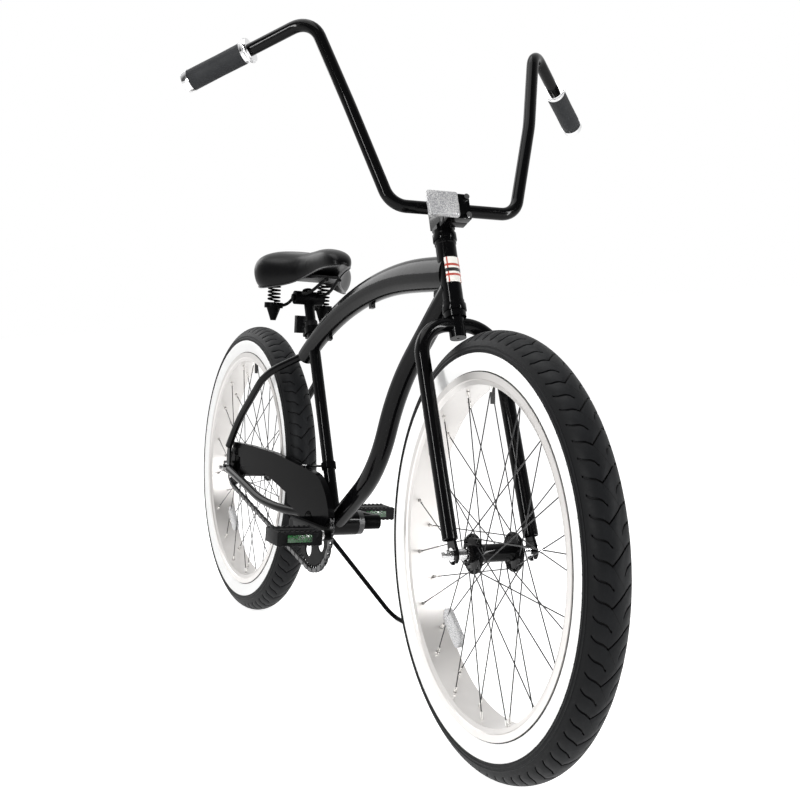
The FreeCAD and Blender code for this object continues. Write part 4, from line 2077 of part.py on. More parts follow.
def make_saddle_mount():
    springs, seats, rails = [], [], []
    coil = coil_spring()
    for side in (1, -1):
        points = rail_points(side)
        edges = rounded_edges(points, widest_bends(points, bend_share))
        rails.append(swept(edges, s.rail_radius))
        seat_point = spring_seat_point(side)
        seat = placed(spring_seat(), Placement(seat_point, Rotation(side_axis, up_axis)))
        seats.append(cut(seat, rails[-1]))
        spring = coil.copy()
        base = seat_point + up_axis * num(s.spring_seat_height + s.fit_gap * 2 + s.spring_wire)
        spring.Placement = Placement(base, Rotation())
        springs.append(spring)
    add_node("saddle_springs", shaped(Part.makeCompound(springs)))
    add_node("spring_seats", group(*seats))
    add_node("saddle_rails", group(*rails))

    half = s.saddle_clamp_half_width
    barrel = rod(s.saddle_clamp_radius, half * 2, clamp_point - side_axis * num(half), side_axis)
    post_tool = rod(s.post_radius, s.post_top, bracket_point, seat_axis)
    bolt_reach = half + s.lock_nut_height
    bolt_start = clamp_point - side_axis * num(bolt_reach)
    bolt_hole = rod(clamp_bolt_radius, bolt_reach * 2, bolt_start, side_axis)
    bolt = rod(clamp_bolt_radius, bolt_reach * 2, bolt_start, side_axis)
    nuts = [shaped(hex_nut(s.nut_across, s.lock_nut_height, Size(0, "0"),
                           clamp_point + side_axis * side * num(half), side_axis * side)) for side in (1, -1)]
    add_node("saddle_clamp", group(cut(barrel, post_tool, bolt_hole, *rails),
                                   cut(fuse(bolt, *nuts), post_tool)))
    post_low = s.seat_tube_length - s.post_insert
    post = ring(s.post_radius, s.post_radius - s.tube_wall, post_low, s.post_top)
    add_node("seat_post", post, Placement(bracket_point, Rotation(side_axis, seat_axis)))

    band_start = on_seat(0, 0, s.rear_lens_level - s.lens_band_width / 2)
    band = rod(s.post_radius + s.lens_band, s.lens_band_width, band_start, seat_axis)
    band_cut = rod(s.post_radius, s.lens_band_width * 3, band_start - seat_axis * num(s.lens_band_width), seat_axis)
    lens_place = Placement(on_seat(0, 0, s.rear_lens_level) - forward_axis * num(s.rear_lens_back), Rotation())
    lens = block(s.rear_lens_depth, s.rear_lens_width, s.rear_lens_height, lens_place)
    arm_length = s.rear_lens_back - s.post_radius
    arm_spot = on_seat(0, 0, s.rear_lens_level) - forward_axis * num(s.post_radius + arm_length / 2)
    arm = cut(block(arm_length, s.lens_band_width, s.lens_band, Placement(arm_spot, Rotation())), lens)
    add_node("rear_reflector", group(cut(fuse(band, arm), band_cut), lens))


make_guard()
make_kickstand()
make_saddle()
make_saddle_mount()
doc.recompute()
print("least gap of a spring to itself", round(spring_self_gap(), 2))


def place_nodes(shift):
    world = Placement(shift, Rotation()).multiply(standing)
    for label, item, place, steered in nodes:
        turn = world.multiply(steer_turn) if steered else world
        item.Placement = turn.multiply(place)
    return world


def box_shift():
    """Shift that brings the middle of the box over the origin and its lowest point to zero."""
    box = FreeCAD.BoundBox()
    for label, item, place, steered in nodes:
        box.add(item.Shape.optimalBoundingBox(False, False))
    return Vector(-box.Center.x, -box.Center.y, -box.ZMin)


place_nodes(Vector())
stance = place_nodes(box_shift())


def check_and_write():
    failed = [item.Name for item in doc.Objects if "Invalid" in item.State or "Error" in item.State]
    if failed:
        raise RuntimeError("failed objects: " + ", ".join(failed))
    os.makedirs("parts", exist_ok=True)
    for label, item, place, steered in nodes:
        if item.Shape.isNull() or not item.Shape.isValid():
            raise RuntimeError("bad shape: " + label)
    for label, item, place, steered in nodes:
        item.Shape.exportStep("parts/%s.step" % label)
        print(label, len(item.Shape.Solids), round(item.Shape.Volume))


if __name__ == "__main__":
    check_and_write()
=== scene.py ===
"""Beach cruiser bicycle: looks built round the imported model."""
import json
import math

import bpy
from mathutils import Matrix, Vector


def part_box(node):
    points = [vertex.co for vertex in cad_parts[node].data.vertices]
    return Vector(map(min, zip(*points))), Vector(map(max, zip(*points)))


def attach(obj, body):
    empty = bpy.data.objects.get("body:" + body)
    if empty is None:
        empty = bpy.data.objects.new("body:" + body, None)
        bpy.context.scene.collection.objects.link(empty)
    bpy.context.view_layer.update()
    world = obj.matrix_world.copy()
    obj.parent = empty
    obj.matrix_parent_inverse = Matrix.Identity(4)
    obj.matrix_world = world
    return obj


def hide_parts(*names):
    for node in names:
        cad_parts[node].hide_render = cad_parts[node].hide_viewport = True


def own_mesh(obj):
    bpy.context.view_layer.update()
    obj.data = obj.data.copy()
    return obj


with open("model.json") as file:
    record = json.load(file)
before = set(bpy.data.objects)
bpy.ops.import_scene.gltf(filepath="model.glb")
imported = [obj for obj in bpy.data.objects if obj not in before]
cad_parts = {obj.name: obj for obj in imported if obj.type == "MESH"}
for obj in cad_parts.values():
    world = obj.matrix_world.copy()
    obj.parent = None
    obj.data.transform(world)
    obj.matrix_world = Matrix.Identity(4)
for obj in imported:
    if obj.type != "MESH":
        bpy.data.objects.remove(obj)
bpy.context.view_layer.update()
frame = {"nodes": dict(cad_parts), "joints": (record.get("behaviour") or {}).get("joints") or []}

bl_info = {
    "name": "Beach cruiser bicycle",
    "version": (1, 0, 0),
    "blender": (4, 5, 0),
    "location": "View3D > Sidebar > Cruiser",
    "description": "Dresses the packed bicycle with its tyres, saddle, grips, pedals and finishes",
    "category": "Object",
}

joints = {joint["name"]: joint for joint in frame["joints"]}
BLACK = (0.002, 0.002, 0.0022, 1.0)

# Axes of the upright bicycle and of its steered part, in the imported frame.


def joint_point(name):
    return Vector(joints[name]["pos_m"])


def joint_axis(name):
    return Vector(joints[name]["axis"]).normalized()


def axes_at(origin, forward, side, up):
    turn = Matrix((forward, side, up)).transposed().to_4x4()
    return Matrix.Translation(origin) @ turn


def bicycle_axes():
    """X forward, Y to the rider's left, Z up, origin on the ground line under the rear hub."""
    sizes = bpy.context.scene.cruiser_sizes
    side = joint_axis("rear_wheel_spin")
    stay = joint_point("crank_spin") - joint_point("rear_wheel_spin")
    ahead = math.sqrt(stay.length_squared - sizes.bracket_drop ** 2)
    forward = (stay * ahead - side.cross(stay) * sizes.bracket_drop).normalized()
    up = forward.cross(side)
    return axes_at(joint_point("rear_wheel_spin") - up * sizes.wheel_radius, forward, side, up)


def steering_axes():
    """Like the bicycle's axes, but along the steering axis and turned with the bars."""
    sizes = bpy.context.scene.cruiser_sizes
    up = joint_axis("steering")
    side = joint_axis("front_wheel_spin")
    forward = side.cross(up).normalized()
    return axes_at(joint_point("steering") - up * sizes.head_tube_low, forward, side, up)


def wheel_axes(name):
    up = Vector((0.0, 0.0, 1.0))
    side = joint_axis(name + "_wheel_spin")
    forward = side.cross(up).normalized()
    return axes_at(joint_point(name + "_wheel_spin"), forward, side, forward.cross(side))


# Modelling helpers: each works on one object with everything else deselected.


def fresh(obj=None):
    if bpy.context.object and bpy.context.object.mode != "OBJECT":
        bpy.ops.object.mode_set(mode="OBJECT")
    bpy.ops.object.select_all(action="DESELECT")
    if obj:
        obj.select_set(True)
        bpy.context.view_layer.objects.active = obj


def edit(obj, select="DESELECT"):
    fresh(obj)
    bpy.ops.object.mode_set(mode="EDIT")
    bpy.ops.mesh.select_mode(type="VERT")
    bpy.ops.mesh.select_all(action=select)


def done(obj):
    bpy.ops.object.mode_set(mode="OBJECT")
    return obj


def pick_faces(obj, test):
    """Select the faces whose centre passes the test, and stay in edit mode."""
    edit(obj)
    bpy.ops.mesh.select_mode(type="FACE")
    bpy.ops.object.mode_set(mode="OBJECT")
    for face in obj.data.polygons:
        face.select = bool(test(face.center))
    bpy.ops.object.mode_set(mode="EDIT")


def modify(obj, kind, **settings):
    """Add a modifier with its settings and apply it."""
    fresh(obj)
    modifier = obj.modifiers.new(kind.lower(), kind)
    for name, value in settings.items():
        setattr(modifier, name, value)
    bpy.ops.object.modifier_apply(modifier=modifier.name)
    return obj


def smooth(obj, angle=35.0):
    fresh(obj)
    bpy.ops.object.shade_smooth_by_angle(angle=math.radians(angle))
    return obj


def put(obj, axes):
    """Move a piece from its own axes to its place and leave the object at the origin."""
    fresh(obj)
    obj.matrix_world = axes
    bpy.ops.object.transform_apply(location=True, rotation=True, scale=True)
    return obj


def joined(name, pieces):
    fresh(pieces[0])
    for piece in pieces:
        piece.select_set(True)
    bpy.ops.object.join()
    pieces[0].name = name
    return pieces[0]


def drawn(name, points):
    """A line through points of the XY plane, drawn by extruding one vertex on and on."""
    fresh()
    bpy.ops.mesh.primitive_plane_add(size=0.001)
    obj = bpy.context.object
    obj.name = name
    edit(obj, "SELECT")
    bpy.ops.mesh.merge(type="CENTER")
    bpy.ops.transform.translate(value=(points[0][0], points[0][1], 0.0))
    for last, following in zip(points, points[1:]):
        step = (following[0] - last[0], following[1] - last[1], 0.0)
        bpy.ops.mesh.extrude_region_move(TRANSFORM_OT_translate={"value": step})
    return obj


def lathed(name, outline, steps, closed=True):
    """Spin an outline of (radius, along) points about the Y axis."""
    obj = drawn(name, list(outline) + ([outline[0]] if closed else []))
    bpy.ops.mesh.select_all(action="SELECT")
    bpy.ops.mesh.remove_doubles(threshold=1e-6)
    bpy.ops.mesh.spin(steps=steps, angle=2 * math.pi, center=(0, 0, 0), axis=(0, 1, 0))
    bpy.ops.mesh.select_all(action="SELECT")
    bpy.ops.mesh.remove_doubles(threshold=1e-6)
    bpy.ops.mesh.normals_make_consistent(inside=False)
    return done(obj)


def rounded_block(name, size, bevel, segments=3):
    fresh()
    bpy.ops.mesh.primitive_cube_add(size=1.0)
    obj = bpy.context.object
    obj.name = name
    edit(obj, "SELECT")
    bpy.ops.transform.resize(value=size)
    bpy.ops.mesh.bevel(offset=bevel, segments=segments, affect="EDGES")
    return done(obj)


def copied(node):
    """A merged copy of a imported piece, to be finished further."""
    fresh()
    obj = bpy.data.objects.new(node + "_finished", frame["nodes"][node].data.copy())
    bpy.context.scene.collection.objects.link(obj)
    fresh(obj)
    bpy.ops.mesh.customdata_custom_splitnormals_clear()
    edit(obj, "SELECT")
    bpy.ops.mesh.remove_doubles(threshold=2e-6)
    bpy.ops.mesh.select_all(action="SELECT")
    bpy.ops.mesh.dissolve_limited(angle_limit=math.radians(1.0))
    return done(obj)


def softened(node, width, segments=2):
    """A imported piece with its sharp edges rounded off."""
    obj = copied(node)
    modify(obj, "BEVEL", width=width, segments=segments, limit_method="ANGLE", angle_limit=math.radians(40))
    return smooth(obj, 40.0)


def finish_piece(obj, body, slot, material, *nodes):
    obj.data.materials.clear()
    obj.data.materials.append(material)
    return carry(obj, body, slot, *nodes)


def carry(obj, body, slot, *nodes):
    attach(obj, body)
    if nodes:
        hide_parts(*nodes)
    return obj


# Shader helpers.


class Wire:
    """A shader value: arithmetic on it adds Math nodes."""

    def __init__(self, finish, socket):
        self.finish = finish
        self.socket = socket

    def math(self, operation, *others):
        return self.finish.node("Math", {"operation": operation}, [self, *others])

    def __add__(self, other):
        return self.math("ADD", other)

    __radd__ = __add__

    def __sub__(self, other):
        return self.math("SUBTRACT", other)

    def __rsub__(self, other):
        return self.finish.node("Math", {"operation": "SUBTRACT"}, [other, self])

    def __mul__(self, other):
        return self.math("MULTIPLY", other)

    __rmul__ = __mul__

    def __truediv__(self, other):
        return self.math("DIVIDE", other)

    def __abs__(self):
        return self.math("ABSOLUTE")

    def above(self, limit, soft):
        """0 below the limit and 1 above it, with a soft step."""
        settings = {"interpolation_type": "SMOOTHSTEP"}
        return self.finish.node("MapRange", settings, {
            "Value": self, "From Min": limit - soft, "From Max": limit + soft, "To Min": 0.0, "To Max": 1.0})

    def below(self, limit, soft):
        return 1.0 - self.above(limit, soft)


class Finish:
    """A procedural material: one Principled shader and the nodes that vary it."""

    def __init__(self, name, colour, roughness, **settings):
        self.material = bpy.data.materials.new(name)
        self.material.use_nodes = True
        self.tree = self.material.node_tree
        self.shader = self.tree.nodes["Principled BSDF"]
        self.shader.inputs["Base Color"].default_value = tuple(colour[:3]) + (1.0,)
        self.shader.inputs["Roughness"].default_value = roughness
        for socket, value in settings.items():
            self.shader.inputs[socket.replace("_", " ")].default_value = value
        self.coordinates = None

    def node(self, kind, settings=None, values=None, out=0):
        """Add a node, set it up, then give its sockets values or links."""
        made = self.tree.nodes.new("ShaderNode" + kind)
        for name, value in (settings or {}).items():
            setattr(made, name, value)
        pairs = values.items() if isinstance(values, dict) else enumerate(values or ())
        for key, value in pairs:
            if isinstance(value, Wire):
                self.tree.links.new(value.socket, made.inputs[key])
            else:
                made.inputs[key].default_value = value
        return Wire(self, made.outputs[out])

    def place(self):
        if self.coordinates is None:
            self.coordinates = self.node("TexCoord", out="Object")
        return self.coordinates

    def noise(self, scale, detail=3.0, roughness=0.5, vector=None):
        values = {"Vector": vector or self.place(), "Scale": scale, "Detail": detail, "Roughness": roughness}
        return self.node("TexNoise", None, values, "Fac")

    def cells(self, scale):
        return self.node("TexVoronoi", {"feature": "F1"}, {"Vector": self.place(), "Scale": scale}, "Distance")

    def mixed(self, factor, first, second):
        """Blend two colours."""
        return self.node("Mix", {"data_type": "RGBA"}, {0: factor, 6: first, 7: second}, 2)

    def along(self, axis, origin):
        """Distance of a point along an axis from an origin."""
        moved = self.node("VectorMath", {"operation": "SUBTRACT"}, [self.place(), tuple(origin)])
        return self.node("VectorMath", {"operation": "DOT_PRODUCT"}, [moved, tuple(axis)], "Value")

    def feed(self, socket, wire):
        self.tree.links.new(wire.socket, self.shader.inputs[socket])

    def bump(self, height, strength, distance):
        values = {"Height": height, "Strength": strength, "Distance": distance}
        self.feed("Normal", self.node("Bump", None, values, "Normal"))


def colour_range(finish, pattern, first, second):
    finish.feed("Base Color", finish.mixed(pattern, (*first, 1.0), (*second, 1.0)))


def rough_range(finish, pattern, low, high):
    finish.feed("Roughness", pattern * (high - low) + low)


def gloss_black(name="gloss_black_paint", shine=0.04, coat=0.15):
    """Black stove paint: a faint orange peel, fine dust and a clear coat."""
    paint = Finish(name, BLACK, 0.16, Specular_IOR_Level=shine, Coat_Weight=coat, Coat_Roughness=0.04)
    dust = paint.noise(38.0, 4.0)
    rough_range(paint, dust, 0.1, 0.22)
    colour_range(paint, paint.noise(9.0, 2.0), (0.0015, 0.0015, 0.0017), (0.003, 0.003, 0.0033))
    paint.bump(paint.noise(160.0, 1.0), 0.012, 0.0006)
    return paint.material


def satin_black(name="satin_black_paint"):
    paint = Finish(name, BLACK, 0.36, Specular_IOR_Level=0.025)
    rough_range(paint, paint.noise(55.0, 4.0), 0.28, 0.45)
    paint.bump(paint.noise(600.0, 2.0), 0.08, 0.0005)
    return paint.material


def bright_metal(name="bright_plating"):
    """Bright plating with soft wipe marks."""
    metal = Finish(name, (0.55, 0.55, 0.56), 0.1, Metallic=1.0)
    marks = metal.noise(70.0, 5.0, 0.6)
    rough_range(metal, marks, 0.05, 0.18)
    colour_range(metal, marks, (0.6, 0.6, 0.61), (0.76, 0.76, 0.76))
    metal.bump(metal.noise(300.0, 2.0), 0.02, 0.0004)
    return metal.material


def dark_steel(name="oiled_chain_steel"):
    metal = Finish(name, (0.05, 0.05, 0.052), 0.35, Metallic=0.85)
    oil = metal.noise(90.0, 4.0)
    rough_range(metal, oil, 0.22, 0.5)
    colour_range(metal, oil, (0.03, 0.03, 0.032), (0.1, 0.1, 0.1))
    return metal.material


def wheel_radius_wire(finish, axes):
    """Distance of a point from the wheel's axis."""
    centre = axes.translation
    across = finish.along(axes.col[0].xyz, centre)
    up = finish.along(axes.col[2].xyz, centre)
    return (across * across + up * up).math("SQRT"), across, up


def rim_metal(name, axes):
    """Pale satin metal, brushed round the wheel."""
    metal = Finish(name, (0.66, 0.64, 0.62), 0.36, Metallic=0.85)
    radius, _, _ = wheel_radius_wire(metal, axes)
    level = metal.along(axes.col[1].xyz, axes.translation)
    rings = metal.node("CombineXYZ", None, [radius * 90.0, level * 90.0, 0.0])
    brushed = metal.noise(14.0, 4.0, 0.6, rings)
    rough_range(metal, brushed, 0.28, 0.44)
    colour_range(metal, metal.noise(16.0, 3.0), (0.60, 0.58, 0.565), (0.70, 0.68, 0.66))
    metal.bump(brushed, 0.06, 0.0004)
    return metal.material


def spoke_metal(name, axes, nipple_radius):
    """Black spokes whose nipples are bright."""
    metal = Finish(name, BLACK, 0.3, Specular_IOR_Level=0.4)
    radius, _, _ = wheel_radius_wire(metal, axes)
    nipple = radius.above(nipple_radius, 0.0008)
    colour_range(metal, nipple, (0.006, 0.006, 0.007), (0.78, 0.77, 0.75))
    metal.feed("Metallic", nipple * 0.95)
    rough_range(metal, metal.noise(120.0, 3.0), 0.2, 0.4)
    return metal.material


def moulded_black(name="moulded_black_plastic"):
    plastic = Finish(name, (0.004, 0.004, 0.0044), 0.45, Specular_IOR_Level=0.1)
    rough_range(plastic, plastic.noise(80.0, 4.0), 0.38, 0.58)
    plastic.bump(plastic.noise(900.0, 2.0), 0.12, 0.0005)
    return plastic.material


def grey_plastic(name="light_grey_plastic"):
    plastic = Finish(name, (0.5, 0.5, 0.5), 0.45)
    colour_range(plastic, plastic.noise(25.0, 3.0), (0.42, 0.42, 0.42), (0.56, 0.56, 0.56))
    plastic.bump(plastic.noise(800.0, 2.0), 0.1, 0.0005)
    return plastic.material


def prism_lens(name, bright, dark, pitch):
    """A reflector's face: small prisms behind a clear skin."""
    lens = Finish(name, bright, 0.16, Coat_Weight=0.6, Coat_Roughness=0.05)
    prisms = lens.cells(1.0 / pitch)
    glint = prisms.above(0.45, 0.25)
    cloud = lens.noise(45.0, 3.0)
    shade = lens.mixed(glint, tuple(bright) + (1,), tuple(dark) + (1,))
    lens.feed("Base Color", lens.mixed(cloud * 0.5, shade, tuple(dark) + (1,)))
    lens.bump(prisms, 0.35, pitch * 0.5)
    return lens.material


def grip_rubber(name="grip_rubber"):
    rubber = Finish(name, (0.017, 0.018, 0.02), 0.6, Specular_IOR_Level=0.2)
    pores = rubber.noise(700.0, 2.0)
    rough_range(rubber, rubber.noise(60.0, 3.0), 0.5, 0.72)
    colour_range(rubber, rubber.noise(40.0, 3.0), (0.013, 0.014, 0.0155), (0.022, 0.023, 0.025))
    rubber.bump(pores, 0.1, 0.0008)
    return rubber.material


def tyre_rubber(name, axes, tread_phase):
    """Dark rubber with a fine sipe between the two rows of grooves, painted shade on the walls and floors of
    the cut grooves and a worn, dusty crown.
    """
    rubber = Finish(name, (0.006, 0.0063, 0.0068), 0.6, Specular_IOR_Level=0.1)
    sizes = bpy.context.scene.cruiser_sizes
    radius, ahead, up = wheel_radius_wire(rubber, axes)
    level = rubber.along(axes.col[1].xyz, axes.translation)
    section = rubber.node("Math", {"operation": "ARCTAN2"}, [level * -1.0, radius - sizes.tyre_ring_radius])
    turn = rubber.node("Math", {"operation": "ARCTAN2"}, [up, ahead])
    pitch = 2 * math.pi / sizes.tread_pairs
    centre = math.radians(sizes.tread_centre)
    drift = (centre - section) * (math.radians(-5.5) / (2 * centre))
    nearest = abs(((turn - tread_phase - drift) / pitch + 100.5).math("FRACT") - 0.5) * pitch
    sipe = nearest.below(0.0021, 0.0008) * abs(section).below(centre, 0.02)
    dust = rubber.noise(22.0, 5.0, 0.6)
    scuff = rubber.noise(160.0, 3.0)
    crown = abs(section).below(0.75, 0.35)
    out = radius - sizes.tyre_ring_radius
    reach = (out * out + level * level).math("SQRT")
    # Points below the tread face, on the walls and floors of the cut grooves, are painted near black: painted
    # shade in the grooves.
    cut = reach.below(sizes.tyre_section - sizes.tread_depth * 0.35, sizes.tread_depth * 0.3) * crown
    base = rubber.mixed(crown * dust, (0.004, 0.0043, 0.0048, 1), (0.014, 0.0147, 0.016, 1))
    rubber.feed("Base Color", rubber.mixed(sipe.math("MAXIMUM", cut), base, (0.001, 0.001, 0.001, 1)))
    rough_range(rubber, scuff, 0.42, 0.62)
    rubber.bump(scuff * 0.25 - sipe, 0.5, 0.0008)
    return rubber.material


def white_rubber(name="white_wall_rubber"):
    rubber = Finish(name, (0.86, 0.86, 0.85), 0.5, Specular_IOR_Level=0.35)
    soil = rubber.noise(12.0, 5.0, 0.6)
    colour_range(rubber, soil.above(0.62, 0.15) * 0.5, (0.87, 0.87, 0.865), (0.80, 0.795, 0.78))
    rough_range(rubber, rubber.noise(90.0, 3.0), 0.42, 0.6)
    rubber.bump(rubber.noise(500.0, 2.0), 0.06, 0.0005)
    return rubber.material


def saddle_vinyl(name="saddle_vinyl"):
    """Soft black vinyl with a fine leather grain."""
    vinyl = Finish(name, (0.002, 0.002, 0.0022), 0.32, Specular_IOR_Level=0.12)
    grain = vinyl.cells(520.0)
    folds = vinyl.noise(30.0, 4.0)
    rough_range(vinyl, folds, 0.24, 0.38)
    colour_range(vinyl, folds, (0.0015, 0.0015, 0.0017), (0.003, 0.003, 0.0033))
    vinyl.bump(grain + folds * 0.6, 0.08, 0.0009)
    return vinyl.material


def welt_vinyl(name="saddle_welt_vinyl"):
    vinyl = Finish(name, (0.03, 0.03, 0.031), 0.35)
    rough_range(vinyl, vinyl.noise(120.0, 3.0), 0.28, 0.42)
    return vinyl.material


def tube_rubber(name="tube_rubber"):
    rubber = Finish(name, (0.02, 0.02, 0.02), 0.7)
    rough_range(rubber, rubber.noise(60.0, 3.0), 0.6, 0.8)
    return rubber.material


def badge_print(name, axes, size):
    """A plain enamel plate: a pale ground, a red edge line and two cross bars."""
    print_ = Finish(name, (0.8, 0.78, 0.72), 0.25, Coat_Weight=0.5, Coat_Roughness=0.05)
    across = abs(print_.along(axes.col[1].xyz, axes.translation))
    rise = print_.along(axes.col[2].xyz, axes.translation)
    edge = across.above(size[0] * 0.36, 0.0004) * across.below(size[0] * 0.43, 0.0004)
    bars = abs(abs(rise) - size[1] * 0.2).below(size[1] * 0.045, 0.0004)
    centre = abs(rise).below(size[1] * 0.07, 0.0004)
    ground = print_.mixed(print_.noise(200.0, 3.0), (0.78, 0.76, 0.70, 1), (0.86, 0.84, 0.79, 1))
    red = print_.mixed(edge.math("MAXIMUM", bars), ground, (0.42, 0.05, 0.03, 1))
    print_.feed("Base Color", print_.mixed(centre, red, (0.02, 0.02, 0.02, 1)))
    rough_range(print_, print_.noise(80.0, 3.0), 0.2, 0.32)
    return print_.material


# Sizes and colours that a user would change.


class CruiserSizes(bpy.types.PropertyGroup):
    """Sizes of the pieces that are modelled here, in metres and degrees."""

    wheel_radius: bpy.props.FloatProperty(
        name="Wheel radius", description="Outer radius of the tyres", default=0.352, unit="LENGTH")
    bracket_drop: bpy.props.FloatProperty(
        name="Bracket drop", description="Height of the hubs over the cranks' axis", default=0.055,
        unit="LENGTH")
    head_tube_low: bpy.props.FloatProperty(
        name="Head tube height", description="Lower end of the head tube along the steering axis",
        default=0.43, unit="LENGTH")
    tyre_ring_radius: bpy.props.FloatProperty(
        name="Tyre ring radius", description="Radius of the tyre section's centre line", default=0.3172,
        unit="LENGTH")
    tyre_section: bpy.props.FloatProperty(
        name="Tyre section", description="Radius of the tyre's round section", default=0.0348, unit="LENGTH")
    tread_pairs: bpy.props.IntProperty(
        name="Tread pairs", description="Pairs of a long and a short groove round the tyre", default=40)
    tread_width: bpy.props.FloatProperty(
        name="Groove width", description="Width of a tread groove in degrees of the tyre's turn",
        default=0.56)
    tread_depth: bpy.props.FloatProperty(
        name="Groove depth", description="Depth of the tread grooves", default=0.0028, unit="LENGTH")
    tread_edge: bpy.props.FloatProperty(
        name="Tread edge", description="Angle round the section at which the grooves end", default=58.0)
    tread_centre: bpy.props.FloatProperty(
        name="Tread centre", description="Angle round the section at which the zigzag turns", default=16.5)
    tread_start: bpy.props.FloatProperty(
        name="Tread start", description="Angle of the first groove ahead of the hub", default=44.2)
    white_low: bpy.props.FloatProperty(
        name="White wall start", description="Inner radius of the white wall", default=0.2876, unit="LENGTH")
    white_high: bpy.props.FloatProperty(
        name="White wall end", description="Outer radius of the white wall", default=0.3155, unit="LENGTH")
    spring_keep: bpy.props.FloatProperty(
        name="Spring rest", description="Share of its length that a spring keeps under load", default=0.66)
    saddle_middle: bpy.props.FloatProperty(
        name="Saddle place", description="Seat post's top ahead of the rear hub", default=0.3018,
        unit="LENGTH")
    saddle_top: bpy.props.FloatProperty(
        name="Saddle top", description="Height of the saddle's crown", default=0.868, unit="LENGTH")
    saddle_rear: bpy.props.FloatProperty(
        name="Saddle rear", description="Reach of the saddle behind the post", default=0.082, unit="LENGTH")
    saddle_length: bpy.props.FloatProperty(
        name="Saddle length", description="Length from the rear to the nose", default=0.29, unit="LENGTH")
    saddle_half_width: bpy.props.FloatProperty(
        name="Saddle half width", description="Half of the saddle's width", default=0.116, unit="LENGTH")
    saddle_thickness: bpy.props.FloatProperty(
        name="Saddle thickness", description="Unit of the saddle's heights", default=0.078, unit="LENGTH")
    saddle_ceiling: bpy.props.FloatProperty(
        name="Saddle ceiling", description="Height of the base plate's top", default=0.8163, unit="LENGTH")


class CruiserStage(bpy.types.PropertyGroup):
    """Camera and light."""

    camera_place: bpy.props.FloatVectorProperty(
        name="Camera place", description="Camera in the upright bicycle's axes", size=3,
        default=(2.68154, -0.93051, 0.66497), unit="LENGTH")
    camera_right: bpy.props.FloatVectorProperty(
        name="Camera right", description="The picture's rightward direction in the bicycle's axes", size=3,
        default=(0.440794, 0.896092, 0.052152))
    camera_down: bpy.props.FloatVectorProperty(
        name="Camera down", description="The picture's downward direction in the bicycle's axes", size=3,
        default=(0.063072, 0.027036, -0.997643))
    lens: bpy.props.FloatProperty(
        name="Lens", description="Focal length on a 36 mm wide frame, in millimetres", default=50.744)
    backdrop: bpy.props.FloatVectorProperty(
        name="Backdrop", description="Colour behind the bicycle", subtype="COLOR", size=3,
        default=(1.0, 1.0, 1.0))


# Pieces.


def tread_shift(section, sizes):
    """How far, in degrees, the grooves have drifted round the tyre at an angle of its section."""
    centre = sizes.tread_centre
    reach = sizes.tread_edge - centre
    middle_drift, side_drift, wave_share = 3.5, 2.5, 0.1
    if abs(section) <= centre:
        return middle_drift * (centre - section) / (2 * centre)
    share = min((abs(section) - centre) / reach, 1.0)
    wave = side_drift * (share + wave_share * math.sin(2 * math.pi * share))
    return wave if section > 0 else middle_drift + wave


def tyre_outline(sizes):
    """Closed outline of the tyre from the right bead over the crown: radius, level and angle of each row."""
    ring = sizes.tyre_ring_radius
    section = sizes.tyre_section
    bead, bead_half, flank, flank_drop = 0.2785, 0.0255, 0.089, 0.0297
    step, band_rise, rib, rubber = 0.0003, 0.0005, 0.0009, 0.0045
    outer = []
    low, high = sizes.white_low, sizes.white_high
    flank_rows = (bead, low - 0.0036, low - 0.0014, low, low + step, 0.297, 0.304, 0.311, high, high + step)
    for radius in flank_rows:
        drop = min(ring - radius, flank_drop)
        level = section - flank + math.sqrt(flank ** 2 - drop ** 2)
        proud = band_rise if low < radius <= high else 0.0
        outer.append((radius, -level - proud, 90.0))
    for angle, proud in ((88.0, 0.0), (85.5, 0.0), (84.5, rib), (82.5, rib), (81.5, 0.0), (76.0, 0.0),
                         (75.0, rib), (73.0, rib), (72.0, 0.0), (66.0, 0.0002), (62.0, 0.0)):
        turn = math.radians(angle)
        reach = section + proud
        outer.append((ring + reach * math.cos(turn), -reach * math.sin(turn), angle))
    rows = (60.0, 58.0, 52.0, 46.0, 40.0, 34.0, 28.0, 22.0, 16.5, 13.0, 8.0, 4.0)
    for angle in rows + (0.0,):
        turn = math.radians(angle)
        outer.append((ring + section * math.cos(turn), -section * math.sin(turn), angle))
    mirrored = [(radius, -level, -angle) for radius, level, angle in reversed(outer[:-1])]
    outer += mirrored
    inner = []
    for angle in (-90, -60, -30, 0, 30, 60, 90):
        turn = math.radians(angle)
        reach = section - rubber
        inner.append((ring + reach * math.cos(turn), -reach * math.sin(turn), float(angle)))
    inner = [(bead, bead_half, -90.0)] + inner + [(bead, -bead_half, 90.0)]
    return outer, inner


